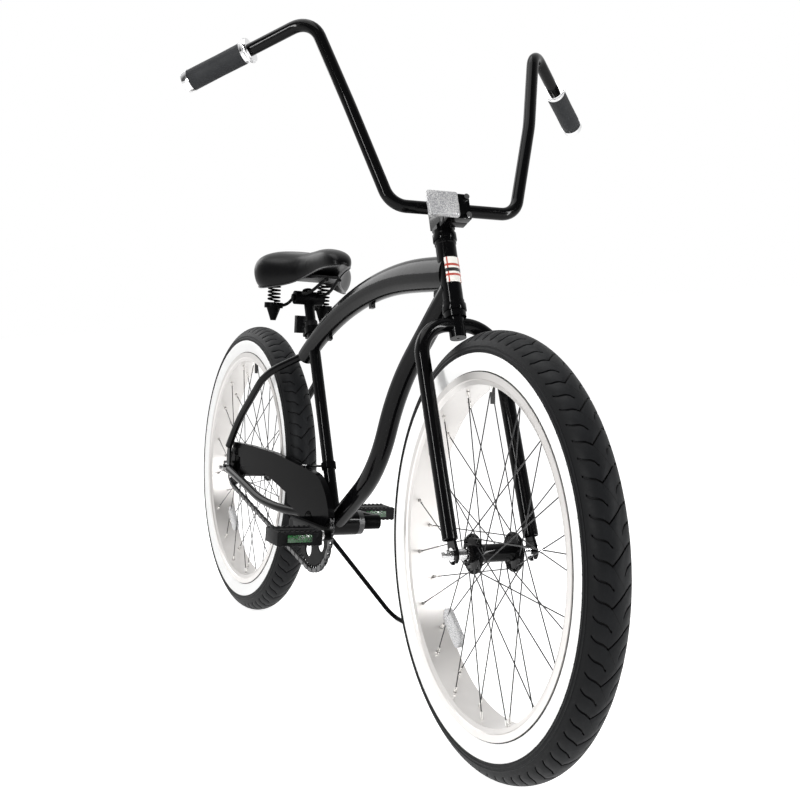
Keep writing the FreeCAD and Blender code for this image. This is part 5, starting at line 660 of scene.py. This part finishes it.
def model_tyre(name, sizes):
    """A tyre about the Y axis with cut grooves."""
    outer, inner = tyre_outline(sizes)
    skin, groove_bevel = 0.002, 0.0006
    short_groove_start, hook_end, hook_near, hook_far = 13.0, 20.0, -0.9, -0.35
    columns = sizes.tread_pairs * 6
    tyre = lathed(name, [(radius, level) for radius, level, _ in outer + inner], columns)
    half = sizes.tread_width / 2
    pitch = 360.0 / sizes.tread_pairs
    marks = (-half, half, pitch / 4, pitch / 2 - half, pitch / 2 + half, pitch * 3 / 4)

    def section_of(point):
        radius = math.hypot(point.x, point.z)
        return math.degrees(math.atan2(-point.y, radius - sizes.tyre_ring_radius))

    def column_of(point):
        return math.degrees(math.atan2(point.z, point.x)) / (pitch / 6) % columns

    def groove(centre):
        reach = math.hypot(math.hypot(centre.x, centre.z) - sizes.tyre_ring_radius, centre.y)
        angle = abs(section_of(centre))
        step = int(column_of(centre)) % 6
        cut = step == 0 or (step == 3 and angle > short_groove_start)
        return cut and angle < sizes.tread_edge and reach > sizes.tyre_section - skin

    pick_faces(tyre, groove)
    done(tyre)
    for vertex in tyre.data.vertices:
        radius = math.hypot(vertex.co.x, vertex.co.z)
        angle = section_of(vertex.co)
        pair, step = divmod(round(column_of(vertex.co)) % columns, 6)
        hook = 0.0
        if step in (3, 4) and abs(angle) < hook_end:
            hook = hook_near if abs(angle) < 15.0 else hook_far
        drift = tread_shift(max(-60.0, min(60.0, angle)), sizes)
        turn = math.radians(sizes.tread_start + pair * pitch + marks[step] + drift + hook)
        vertex.co = (radius * math.cos(turn), vertex.co.y, radius * math.sin(turn))
    bpy.ops.object.mode_set(mode="EDIT")
    bpy.ops.mesh.extrude_region_shrink_fatten(TRANSFORM_OT_shrink_fatten={"value": -sizes.tread_depth})
    done(tyre)
    modify(tyre, "BEVEL", width=groove_bevel, segments=2, limit_method="ANGLE", angle_limit=math.radians(50))
    return tyre


class CRUISER_OT_tyres(bpy.types.Operator):
    """Balloon tyres with a grooved tread and a white wall"""

    bl_idname = "cruiser.tyres"
    bl_label = "Tyres"

    def execute(self, context):
        sizes = context.scene.cruiser_sizes
        flank_level, band_edge = 0.0285, 0.0002
        white = white_rubber()
        for name in ("front", "rear"):
            axes = wheel_axes(name)
            tyre = model_tyre(name + "_balloon_tyre", sizes)
            tread = tyre_rubber(name + "_tyre_rubber", axes, math.radians(sizes.tread_start))
            tyre.data.materials.append(tread)
            tyre.data.materials.append(white)
            for face in tyre.data.polygons:
                radius = math.hypot(face.center.x, face.center.z)
                outside = abs(face.center.y) > flank_level
                in_band = sizes.white_low < radius < sizes.white_high + band_edge
                face.material_index = 1 if outside and in_band else 0
            smooth(tyre, 40.0)
            put(tyre, axes)
            carry(tyre, name + "_wheel", "tyre_rubber", name + "_tyre")
        return {"FINISHED"}


# Saddle stations from the rear to the nose: place along the length, half width, crown and depth of the side.
saddle_shares = (
    (0.0, 0.30, -0.30, 0.52), (0.012, 0.52, -0.17, 0.64), (0.045, 0.80, -0.03, 0.86),
    (0.12, 0.98, 0.06, 1.02), (0.19, 1.0, 0.045, 1.06), (0.26, 0.95, 0.0, 1.05),
    (0.33, 0.83, -0.04, 1.02), (0.4, 0.69, -0.06, 0.97), (0.47, 0.555, -0.055, 0.9),
    (0.535, 0.455, -0.035, 0.81), (0.62, 0.375, 0.0, 0.69), (0.705, 0.33, 0.03, 0.6),
    (0.8, 0.3, 0.02, 0.53), (0.88, 0.265, -0.05, 0.49), (0.945, 0.195, -0.17, 0.47),
    (0.985, 0.09, -0.33, 0.46))
# One half of a section from the lower edge to the crown: share of the half width and of the height.
saddle_section_shares = (
    (0.88, 0.0), (0.955, 0.14), (0.99, 0.3), (1.0, 0.45), (0.965, 0.62), (0.88, 0.76), (0.74, 0.87),
    (0.54, 0.945), (0.28, 0.985), (0.0, 1.0))


def saddle_sizes(sizes, shares):
    """Place along, half width, crown and lower edge of one station, in the bicycle's axes."""
    ahead, across, crown, depth = shares
    along = sizes.saddle_middle - sizes.saddle_rear + sizes.saddle_length * ahead
    thick = sizes.saddle_thickness
    top = sizes.saddle_top
    return along, sizes.saddle_half_width * across, top + thick * crown, top - thick * depth


def saddle_ring(sizes, shares):
    """Points of one closed section: over the top from left to right, then back along the hollow underside."""
    along, half, top, low = saddle_sizes(sizes, shares)
    height = top - low
    left = [(half * across, low + height * up) for across, up in saddle_section_shares]
    over = left + [(-side, level) for side, level in reversed(left[:-1])]
    wall, lip, least_hollow = 0.009, 0.001, 0.004
    hollow = 0.03 < shares[0] < 0.75
    inner = max(half * 0.88 - wall, half * 0.3)
    ceiling = max(sizes.saddle_ceiling, low + least_hollow) if hollow else low + least_hollow
    under = [(-inner, low + lip), (-inner, ceiling), (0.0, ceiling), (inner, ceiling), (inner, low + lip)]
    return [Vector((along, side, level)) for side, level in over + under]


def model_saddle(sizes):
    """A stuffed saddle: sections skinned from rear to nose, closed at both ends and rounded."""
    rings = [saddle_ring(sizes, shares) for shares in saddle_shares]
    count = len(rings[0])
    fresh()
    bpy.ops.mesh.primitive_grid_add(x_subdivisions=len(rings) - 1, y_subdivisions=count, size=1.0)
    saddle = bpy.context.object
    saddle.name = "saddle_cushion"
    for vertex in saddle.data.vertices:
        row = round((vertex.co.x + 0.5) * (len(rings) - 1))
        column = round((vertex.co.y + 0.5) * count)
        vertex.co = rings[row][column % count]
    edit(saddle, "SELECT")
    bpy.ops.mesh.remove_doubles(threshold=1e-6)
    bpy.ops.mesh.select_all(action="DESELECT")
    bpy.ops.mesh.select_mode(type="EDGE")
    bpy.ops.mesh.select_non_manifold(extend=False)
    bpy.ops.mesh.fill_holes(sides=0)
    bpy.ops.mesh.select_all(action="SELECT")
    bpy.ops.mesh.normals_make_consistent(inside=False)
    done(saddle)
    modify(saddle, "SUBSURF", levels=2, render_levels=2)
    return saddle


def swell(obj, pressure, most, upward, frames=20, voxel=0.0035):
    """Blow a closed cushion up as cloth, then keep each point within the allowed rise."""
    fresh(obj)
    obj.data.remesh_voxel_size = voxel
    bpy.ops.object.voxel_remesh()
    rest = [vertex.co.copy() for vertex in obj.data.vertices]
    normals = [vertex.normal.copy() for vertex in obj.data.vertices]
    cloth = obj.modifiers.new("cloth", "CLOTH")
    cloth.settings.use_pressure = True
    cloth.settings.uniform_pressure_force = pressure
    cloth.settings.effector_weights.gravity = 0.0
    cloth.settings.quality = 6
    cloth.point_cache.frame_start = 1
    cloth.point_cache.frame_end = frames
    for number in range(1, frames + 1):
        bpy.context.scene.frame_set(number)
    blown = obj.evaluated_get(bpy.context.evaluated_depsgraph_get()).data
    places = [vertex.co.copy() for vertex in blown.vertices]
    obj.modifiers.remove(cloth)
    bpy.context.scene.frame_set(1)
    for vertex, place, start, normal in zip(obj.data.vertices, places, rest, normals):
        move = place - start
        if move.length > most:
            move *= most / move.length
        facing = max(0.0, min(1.0, normal.dot(upward) * 1.6 + 0.6))
        vertex.co = start + move * facing
    modify(obj, "SMOOTH", factor=0.5, iterations=4)
    return modify(obj, "SUBSURF", levels=1, render_levels=1)


def piping(name, points, radius):
    """A thin sewn welt along a line of points."""
    curve = bpy.data.curves.new(name, "CURVE")
    curve.dimensions = "3D"
    curve.bevel_depth = radius
    curve.bevel_resolution = 2
    spline = curve.splines.new("NURBS")
    spline.points.add(len(points) - 1)
    for spot, point in zip(spline.points, points):
        spot.co = (*point, 1.0)
    spline.order_u = 4
    spline.use_endpoint_u = True
    spline.resolution_u = 4
    obj = bpy.data.objects.new(name, curve)
    bpy.context.scene.collection.objects.link(obj)
    fresh(obj)
    bpy.ops.object.convert(target="MESH")
    return smooth(bpy.context.object, 60.0)


class CRUISER_OT_saddle(bpy.types.Operator):
    """Stuffed saddle cover with its welt"""

    bl_idname = "cruiser.saddle"
    bl_label = "Saddle"

    def execute(self, context):
        sizes = context.scene.cruiser_sizes
        axes = bicycle_axes()
        vinyl = saddle_vinyl()
        pressure, most_rise = 3.0, 0.004
        welt_radius, welt_lift, welt_share = 0.0016, 0.001, 0.885
        saddle = model_saddle(sizes)
        swell(saddle, pressure, most_rise, Vector((0.0, 0.0, 1.0)))
        smooth(saddle, 75.0)
        put(saddle, axes)
        finish_piece(saddle, "saddle", "saddle_vinyl", vinyl, "saddle_cover")
        stations = [saddle_sizes(sizes, shares) for shares in saddle_shares]
        left = [Vector((along, half * welt_share, low + welt_lift)) for along, half, _, low in stations]
        right = [Vector((point.x, -point.y, point.z)) for point in left]
        welt = piping("saddle_welt", left[::-1] + right, welt_radius)
        put(welt, axes)
        finish_piece(welt, "saddle", "saddle_vinyl", welt_vinyl())
        return {"FINISHED"}


class CRUISER_OT_springs(bpy.types.Operator):
    """Coil springs under the saddle, copied from the imported ones and carried with the seat"""

    bl_idname = "cruiser.springs"
    bl_label = "Saddle springs"

    def execute(self, context):
        up = bicycle_axes().col[2].xyz
        springs = smooth(copied("saddle_springs"), 60.0)
        springs.name = "saddle_coil_springs"
        foot = min((vertex.co for vertex in springs.data.vertices), key=up.dot).copy()
        satin = bpy.data.materials["satin_black_paint"]
        finish_piece(springs, "seat", "black_paint", satin, "saddle_springs")
        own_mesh(springs)
        return {"FINISHED"}


class CRUISER_OT_grips(bpy.types.Operator):
    """Rubber grips with a bright bell collar and end cap"""

    bl_idname = "cruiser.grips"
    bl_label = "Grips"

    def execute(self, context):
        axes = steering_axes()
        rubber = grip_rubber()
        bright = bright_metal("grip_plating")
        # Outlines of radius and place along the bar, in from the bar's end.
        bore = 0.0113
        sleeve = ((bore, 0.0), (0.0182, 0.0), (0.019, 0.0012), (0.0189, 0.02), (0.0186, 0.059), (0.0189, 0.1),
                  (0.019, 0.1075), (bore, 0.1075))
        bell = ((bore, 0.108), (0.0186, 0.108), (0.0192, 0.1092), (0.0194, 0.112), (0.0202, 0.1146),
                (0.0218, 0.1165), (0.0232, 0.1176), (0.0235, 0.119), (0.0232, 0.1203), (0.0214, 0.1205),
                (0.0212, 0.1215), (0.0218, 0.1222), (0.0216, 0.1238), (0.0175, 0.124), (bore, 0.124))
        cap = ((0.0, -0.0138), (0.0165, -0.0138), (0.0184, -0.0128), (0.0192, -0.011), (0.0192, -0.0024),
               (0.0198, -0.0018), (0.0198, 0.0), (0.0175, 0.0002), (0.0, 0.0002))
        bar_end, bar_bend = Vector((-0.13, 0.394, 0.902)), Vector((0.04, 0.219, 0.94))
        steps = 64
        grips, trims = [], []
        for sign in (1.0, -1.0):
            mirror = Matrix.Diagonal((1.0, sign, 1.0))
            end = axes @ (mirror @ bar_end)
            inward = (axes @ (mirror @ bar_bend) - end).normalized()
            turn = inward.to_track_quat("Y", "Z").to_matrix().to_4x4()
            place = Matrix.Translation(end) @ turn
            grips.append(put(smooth(lathed("grip_sleeve", sleeve, steps)), place))
            trims.append(put(smooth(lathed("grip_bell", bell, steps)), place))
            trims.append(put(smooth(lathed("grip_cap", cap, steps, closed=False)), place))
        finish_piece(joined("rubber_grips", grips), "steering", "grip_rubber", rubber, "grips")
        finish_piece(joined("grip_bells_and_caps", trims), "steering", "bright_steel", bright, "grip_trim")
        return {"FINISHED"}


def ridge_row(size, count, pitch, start):
    """A row of small blocks along Y."""
    row = rounded_block("pedal_ridge", size, min(size) / 4, 2)
    modify(row, "ARRAY", count=count, use_relative_offset=False, use_constant_offset=True,
           constant_offset_displace=(0.0, pitch, 0.0))
    return put(row, Matrix.Translation(start))


class CRUISER_OT_pedals(bpy.types.Operator):
    """Moulded pedals with gripping ridges and green reflectors"""

    bl_idname = "cruiser.pedals"
    bl_label = "Pedals"

    def execute(self, context):
        black = bpy.data.materials["moulded_black_plastic"]
        green = prism_lens("green_prism_lens", (0.008, 0.15, 0.026), (0.0015, 0.02, 0.004), 0.0022)
        axes = bicycle_axes()
        edge, ridge_size, ridge_count, ridge_pitch = 0.0016, (0.0066, 0.0042, 0.0034), 9, 0.0101
        ridge_ahead, ridge_start, ridge_up = 0.0292, -0.0404, 0.013
        lens_size, lens_edge, lens_ahead = (0.004, 0.0494, 0.0144), 0.001, 0.0315
        for body in ("left_pedal", "right_pedal"):
            low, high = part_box(body)
            place = axes_at((low + high) / 2, axes.col[0].xyz, axes.col[1].xyz, axes.col[2].xyz)
            parts = [softened(body, edge)]
            lenses = []
            for end in (1.0, -1.0):
                for face in (1.0, -1.0):
                    start = (ridge_ahead * end, ridge_start, ridge_up * face)
                    parts.append(put(ridge_row(ridge_size, ridge_count, ridge_pitch, start), place))
                lens = rounded_block("pedal_lens", lens_size, lens_edge, 2)
                lenses.append(put(lens, place @ Matrix.Translation((lens_ahead * end, 0.0, 0.0))))
            pedal = joined(body + "_body", [smooth(part) for part in parts])
            finish_piece(pedal, body, "black_plastic", black, body)
            finish_piece(smooth(joined(body + "_reflectors", lenses)), body, "clear_plastic", green)
        return {"FINISHED"}


class CRUISER_OT_rounded(bpy.types.Operator):
    """Pieces whose sharp edges are rounded off"""

    bl_idname = "cruiser.rounded"
    bl_label = "Rounded pieces"

    def execute(self, context):
        gloss = bpy.data.materials["gloss_black_paint"]
        satin = bpy.data.materials["satin_black_paint"]
        lens = bpy.data.materials["clear_prism_lens"]
        plastic = bpy.data.materials["moulded_black_plastic"]
        grey = bpy.data.materials["light_grey_plastic"]
        # Node, body, slot, material, width and steps of the rounding.
        pieces = (
            ("stem", "steering", "black_paint", gloss, 0.003, 3),
            ("stem_faceplate", "steering", "black_paint", gloss, 0.0035, 3),
            ("crank_arms", "crank", "black_paint", satin, 0.0025, 3),
            ("kickstand_bracket", "frame", "black_paint", satin, 0.0012, 2),
            ("front_reflector", "steering", "clear_plastic", lens, 0.004, 3),
            ("front_reflector_bracket", "steering", "grey_plastic", grey, 0.001, 2),
            ("rear_reflector", "seat", "black_plastic", plastic, 0.0015, 2),
            ("saddle_clamp", "seat", "black_paint", satin, 0.0012, 2),
            ("front_spoke_reflector", "front_wheel", "clear_plastic", lens, 0.0016, 2),
            ("rear_spoke_reflector", "rear_wheel", "clear_plastic", lens, 0.0016, 2),
            ("front_hub_shell", "front_wheel", "black_paint", gloss, 0.0008, 2),
            ("rear_hub_shell", "rear_wheel", "black_paint", gloss, 0.0008, 2),
            ("headset_cups", "frame", "black_paint", gloss, 0.0008, 2),
            ("spring_seats", "seat", "black_paint", satin, 0.0012, 2),
        )
        for node, body, slot, material, width, segments in pieces:
            finish_piece(softened(node, width, segments), body, slot, material, node)
        return {"FINISHED"}


class CRUISER_OT_finishes(bpy.types.Operator):
    """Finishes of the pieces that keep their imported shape"""

    bl_idname = "cruiser.finishes"
    bl_label = "Finishes"

    def execute(self, context):
        gloss = gloss_black()
        satin = satin_black()
        bright = bright_metal()
        plastic = moulded_black()
        finishes = {
            gloss: ("head_tube", "top_tube", "down_tube", "seat_tube", "bottom_bracket_shell", "chain_stays",
                    "seat_stays", "rear_dropouts", "headset_cups", "fork_legs", "fork_steerer", "handlebar",
                    "stem", "stem_faceplate", "seat_post", "front_hub_shell", "rear_hub_shell", "seat_clamp",
                    "headset_hardware"),
            satin: ("kickstand_leg", "kickstand_bracket", "crank_arms", "chainring", "rear_sprocket",
                    "brake_arm", "saddle_springs", "spring_seats", "saddle_rails", "saddle_clamp",
                    "crank_spindle"),
            bright: ("front_axle", "rear_axle", "front_hub_bearings", "rear_hub_internals", "stem_fasteners",
                     "guard_screws", "pedal_spindles", "grip_trim"),
            gloss_black("guard_black_paint", 0.01, 0.01): ("chain_guard",),
            dark_steel(): ("chain", "bottom_bracket_bearings"),
            plastic: ("left_pedal", "right_pedal", "saddle_base", "rear_reflector"),
            grip_rubber(): ("grips",),
            tube_rubber(): ("front_inner_tube", "rear_inner_tube"),
            grey_plastic(): ("front_reflector_bracket",),
            saddle_vinyl(): ("saddle_cover",),
            prism_lens("clear_prism_lens", (0.6, 0.6, 0.59), (0.26, 0.26, 0.27), 0.002): (
                "front_reflector", "front_spoke_reflector", "rear_spoke_reflector"),
        }
        badge_low, badge_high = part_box("head_badge")
        badge_axes = axes_at((badge_low + badge_high) / 2, *[bicycle_axes().col[i].xyz for i in (0, 1)],
                             joint_axis("steering"))
        badge_size, nipple_radius = (0.028, 0.046), 0.2545
        finishes[badge_print("badge_print", badge_axes, badge_size)] = ("head_badge",)
        for name in ("front", "rear"):
            axes = wheel_axes(name)
            finishes[rim_metal(name + "_rim_metal", axes)] = (name + "_rim",)
            finishes[spoke_metal(name + "_spoke_metal", axes, nipple_radius)] = (name + "_spokes",)
        for material, nodes in finishes.items():
            for node in nodes:
                mesh = frame["nodes"][node].data
                mesh.materials.clear()
                mesh.materials.append(material)
        return {"FINISHED"}


class CRUISER_OT_stage(bpy.types.Operator):
    """Pale floor, white surroundings, soft lamps and the camera"""

    bl_idname = "cruiser.stage"
    bl_label = "Stage"

    def execute(self, context):
        scene = context.scene
        self.floor()
        self.world(scene)
        self.lamps()
        self.camera(scene)
        scene.view_settings.view_transform = "Standard"
        return {"FINISHED"}

    def floor(self):
        floor_size, floor_glow = 60.0, 0.8
        fresh()
        bpy.ops.mesh.primitive_plane_add(size=floor_size)
        floor = bpy.context.object
        floor.name = "studio_floor"
        edit(floor, "SELECT")
        bpy.ops.mesh.subdivide(number_cuts=4)
        done(floor)
        pale = Finish("studio_floor_paint", (0.8, 0.8, 0.8), 0.9, Specular_IOR_Level=0.0)
        path = pale.tree.nodes.new("ShaderNodeLightPath")
        seen = Wire(pale, path.outputs["Is Camera Ray"]) + Wire(pale, path.outputs["Is Glossy Ray"])
        seen = (seen + Wire(pale, path.outputs["Is Transmission Ray"])).math("MINIMUM", 1.0)
        pale.shader.inputs["Emission Strength"].default_value = floor_glow
        pale.feed("Emission Color", pale.mixed(seen, (0.0, 0.0, 0.0, 1), (1.0, 1.0, 1.0, 1)))
        floor.data.materials.append(pale.material)

    def world(self, scene):
        fill_light, room_slope, room_middle, room_least = 0.4, 1.6, 0.55, 0.1
        world = bpy.data.worlds.new("studio_surroundings")
        scene.world = world
        world.use_nodes = True
        tree = world.node_tree
        tree.nodes.clear()
        path = tree.nodes.new("ShaderNodeLightPath")
        low = tree.nodes.new("ShaderNodeBackground")
        high = tree.nodes.new("ShaderNodeBackground")
        low.inputs["Strength"].default_value = fill_light
        white = tuple(scene.cruiser_stage.backdrop) + (1.0,)

        def joined_by(operation, first, second):
            sum_node = tree.nodes.new("ShaderNodeMath")
            sum_node.operation = operation
            for number, value in enumerate((first, second)):
                if isinstance(value, float):
                    sum_node.inputs[number].default_value = value
                else:
                    tree.links.new(value, sum_node.inputs[number])
            return sum_node.outputs[0]

        # The side behind the camera is a dim room in reflections, and white for the camera itself.
        place = tree.nodes.new("ShaderNodeTexCoord")
        ahead = tree.nodes.new("ShaderNodeVectorMath")
        ahead.operation = "DOT_PRODUCT"
        view = bicycle_axes().to_3x3() @ Vector(scene.cruiser_stage.camera_place)
        ahead.inputs[1].default_value = (-view.x / view.length, -view.y / view.length, 0.0)
        tree.links.new(place.outputs["Generated"], ahead.inputs[0])
        bright = joined_by("MULTIPLY", ahead.outputs["Value"], room_slope)
        bright = joined_by("ADD", bright, room_middle)
        bright = joined_by("MAXIMUM", bright, path.outputs["Is Camera Ray"])
        bright = joined_by("MINIMUM", joined_by("MAXIMUM", bright, room_least), 1.0)
        tone = tree.nodes.new("ShaderNodeMix")
        tone.data_type = "RGBA"
        tone.inputs[6].default_value = (0.0, 0.0, 0.0, 1.0)
        tone.inputs[7].default_value = white
        tree.links.new(bright, tone.inputs[0])
        tree.links.new(tone.outputs[2], high.inputs["Color"])
        seen = joined_by("MAXIMUM", path.outputs["Is Camera Ray"], path.outputs["Is Transmission Ray"])
        seen = joined_by("MAXIMUM", seen, path.outputs["Is Glossy Ray"])
        mix = tree.nodes.new("ShaderNodeMixShader")
        out = tree.nodes.new("ShaderNodeOutputWorld")
        tree.links.new(seen, mix.inputs[0])
        tree.links.new(low.outputs[0], mix.inputs[1])
        tree.links.new(high.outputs[0], mix.inputs[2])
        tree.links.new(mix.outputs[0], out.inputs[0])

    def lamps(self):
        axes = bicycle_axes()
        # Name, place in the bicycle's axes, size and power.
        lamps = (
            ("left_strip", (1.9, -2.6, 1.3), (0.22, 2.2), 62.0),
            ("right_strip", (3.0, 1.5, 1.2), (0.18, 2.2), 46.0),
            ("top_box", (0.4, -0.8, 3.0), (2.4, 1.6), 36.0),
            ("back_box", (-2.2, -1.0, 1.9), (1.6, 1.6), 22.0),
        )
        aim = Vector((0.6, 0.0, 0.6))
        for name, place, size, power in lamps:
            light = bpy.data.lights.new(name, "AREA")
            light.shape = "RECTANGLE"
            light.size, light.size_y = size
            light.energy = power
            lamp = bpy.data.objects.new(name, light)
            bpy.context.scene.collection.objects.link(lamp)
            spot = axes @ Vector(place)
            lamp.location = spot
            lamp.rotation_euler = (axes @ aim - spot).to_track_quat("-Z", "Y").to_euler()

    def camera(self, scene):
        stage = scene.cruiser_stage
        axes = bicycle_axes()
        data = bpy.data.cameras.new("photo_camera")
        data.sensor_fit = "HORIZONTAL"
        data.sensor_width = 36.0
        data.lens = stage.lens
        data.clip_start = 0.05
        data.clip_end = 200.0
        camera = bpy.data.objects.new("photo_camera", data)
        scene.collection.objects.link(camera)
        right = axes.to_3x3() @ Vector(stage.camera_right)
        up = axes.to_3x3() @ Vector(stage.camera_down) * -1.0
        right.normalize()
        up = (up - right * up.dot(right)).normalized()
        camera.matrix_world = axes_at(axes @ Vector(stage.camera_place), right, up, right.cross(up))
        scene.camera = camera


class CRUISER_PT_panel(bpy.types.Panel):
    """Lists the steps that dress the bicycle"""

    bl_label = "Beach cruiser"
    bl_idname = "CRUISER_PT_panel"
    bl_space_type = "VIEW_3D"
    bl_region_type = "UI"
    bl_category = "Cruiser"

    def draw(self, context):
        for step in STEPS:
            self.layout.operator(step.bl_idname)


STEPS = (CRUISER_OT_stage, CRUISER_OT_finishes, CRUISER_OT_rounded, CRUISER_OT_tyres, CRUISER_OT_saddle,
         CRUISER_OT_springs, CRUISER_OT_grips, CRUISER_OT_pedals)
CLASSES = (CruiserSizes, CruiserStage) + STEPS + (CRUISER_PT_panel,)


def register():
    for item in CLASSES:
        bpy.utils.register_class(item)
    bpy.types.Scene.cruiser_sizes = bpy.props.PointerProperty(type=CruiserSizes)
    bpy.types.Scene.cruiser_stage = bpy.props.PointerProperty(type=CruiserStage)


def unregister():
    del bpy.types.Scene.cruiser_sizes
    del bpy.types.Scene.cruiser_stage
    for item in reversed(CLASSES):
        bpy.utils.unregister_class(item)


def main():
    register()
    bpy.ops.cruiser.stage()
    bpy.ops.cruiser.finishes()
    bpy.ops.cruiser.rounded()
    bpy.ops.cruiser.tyres()
    bpy.ops.cruiser.saddle()
    bpy.ops.cruiser.springs()
    bpy.ops.cruiser.grips()
    bpy.ops.cruiser.pedals()


if __name__ == "__main__":
    main()
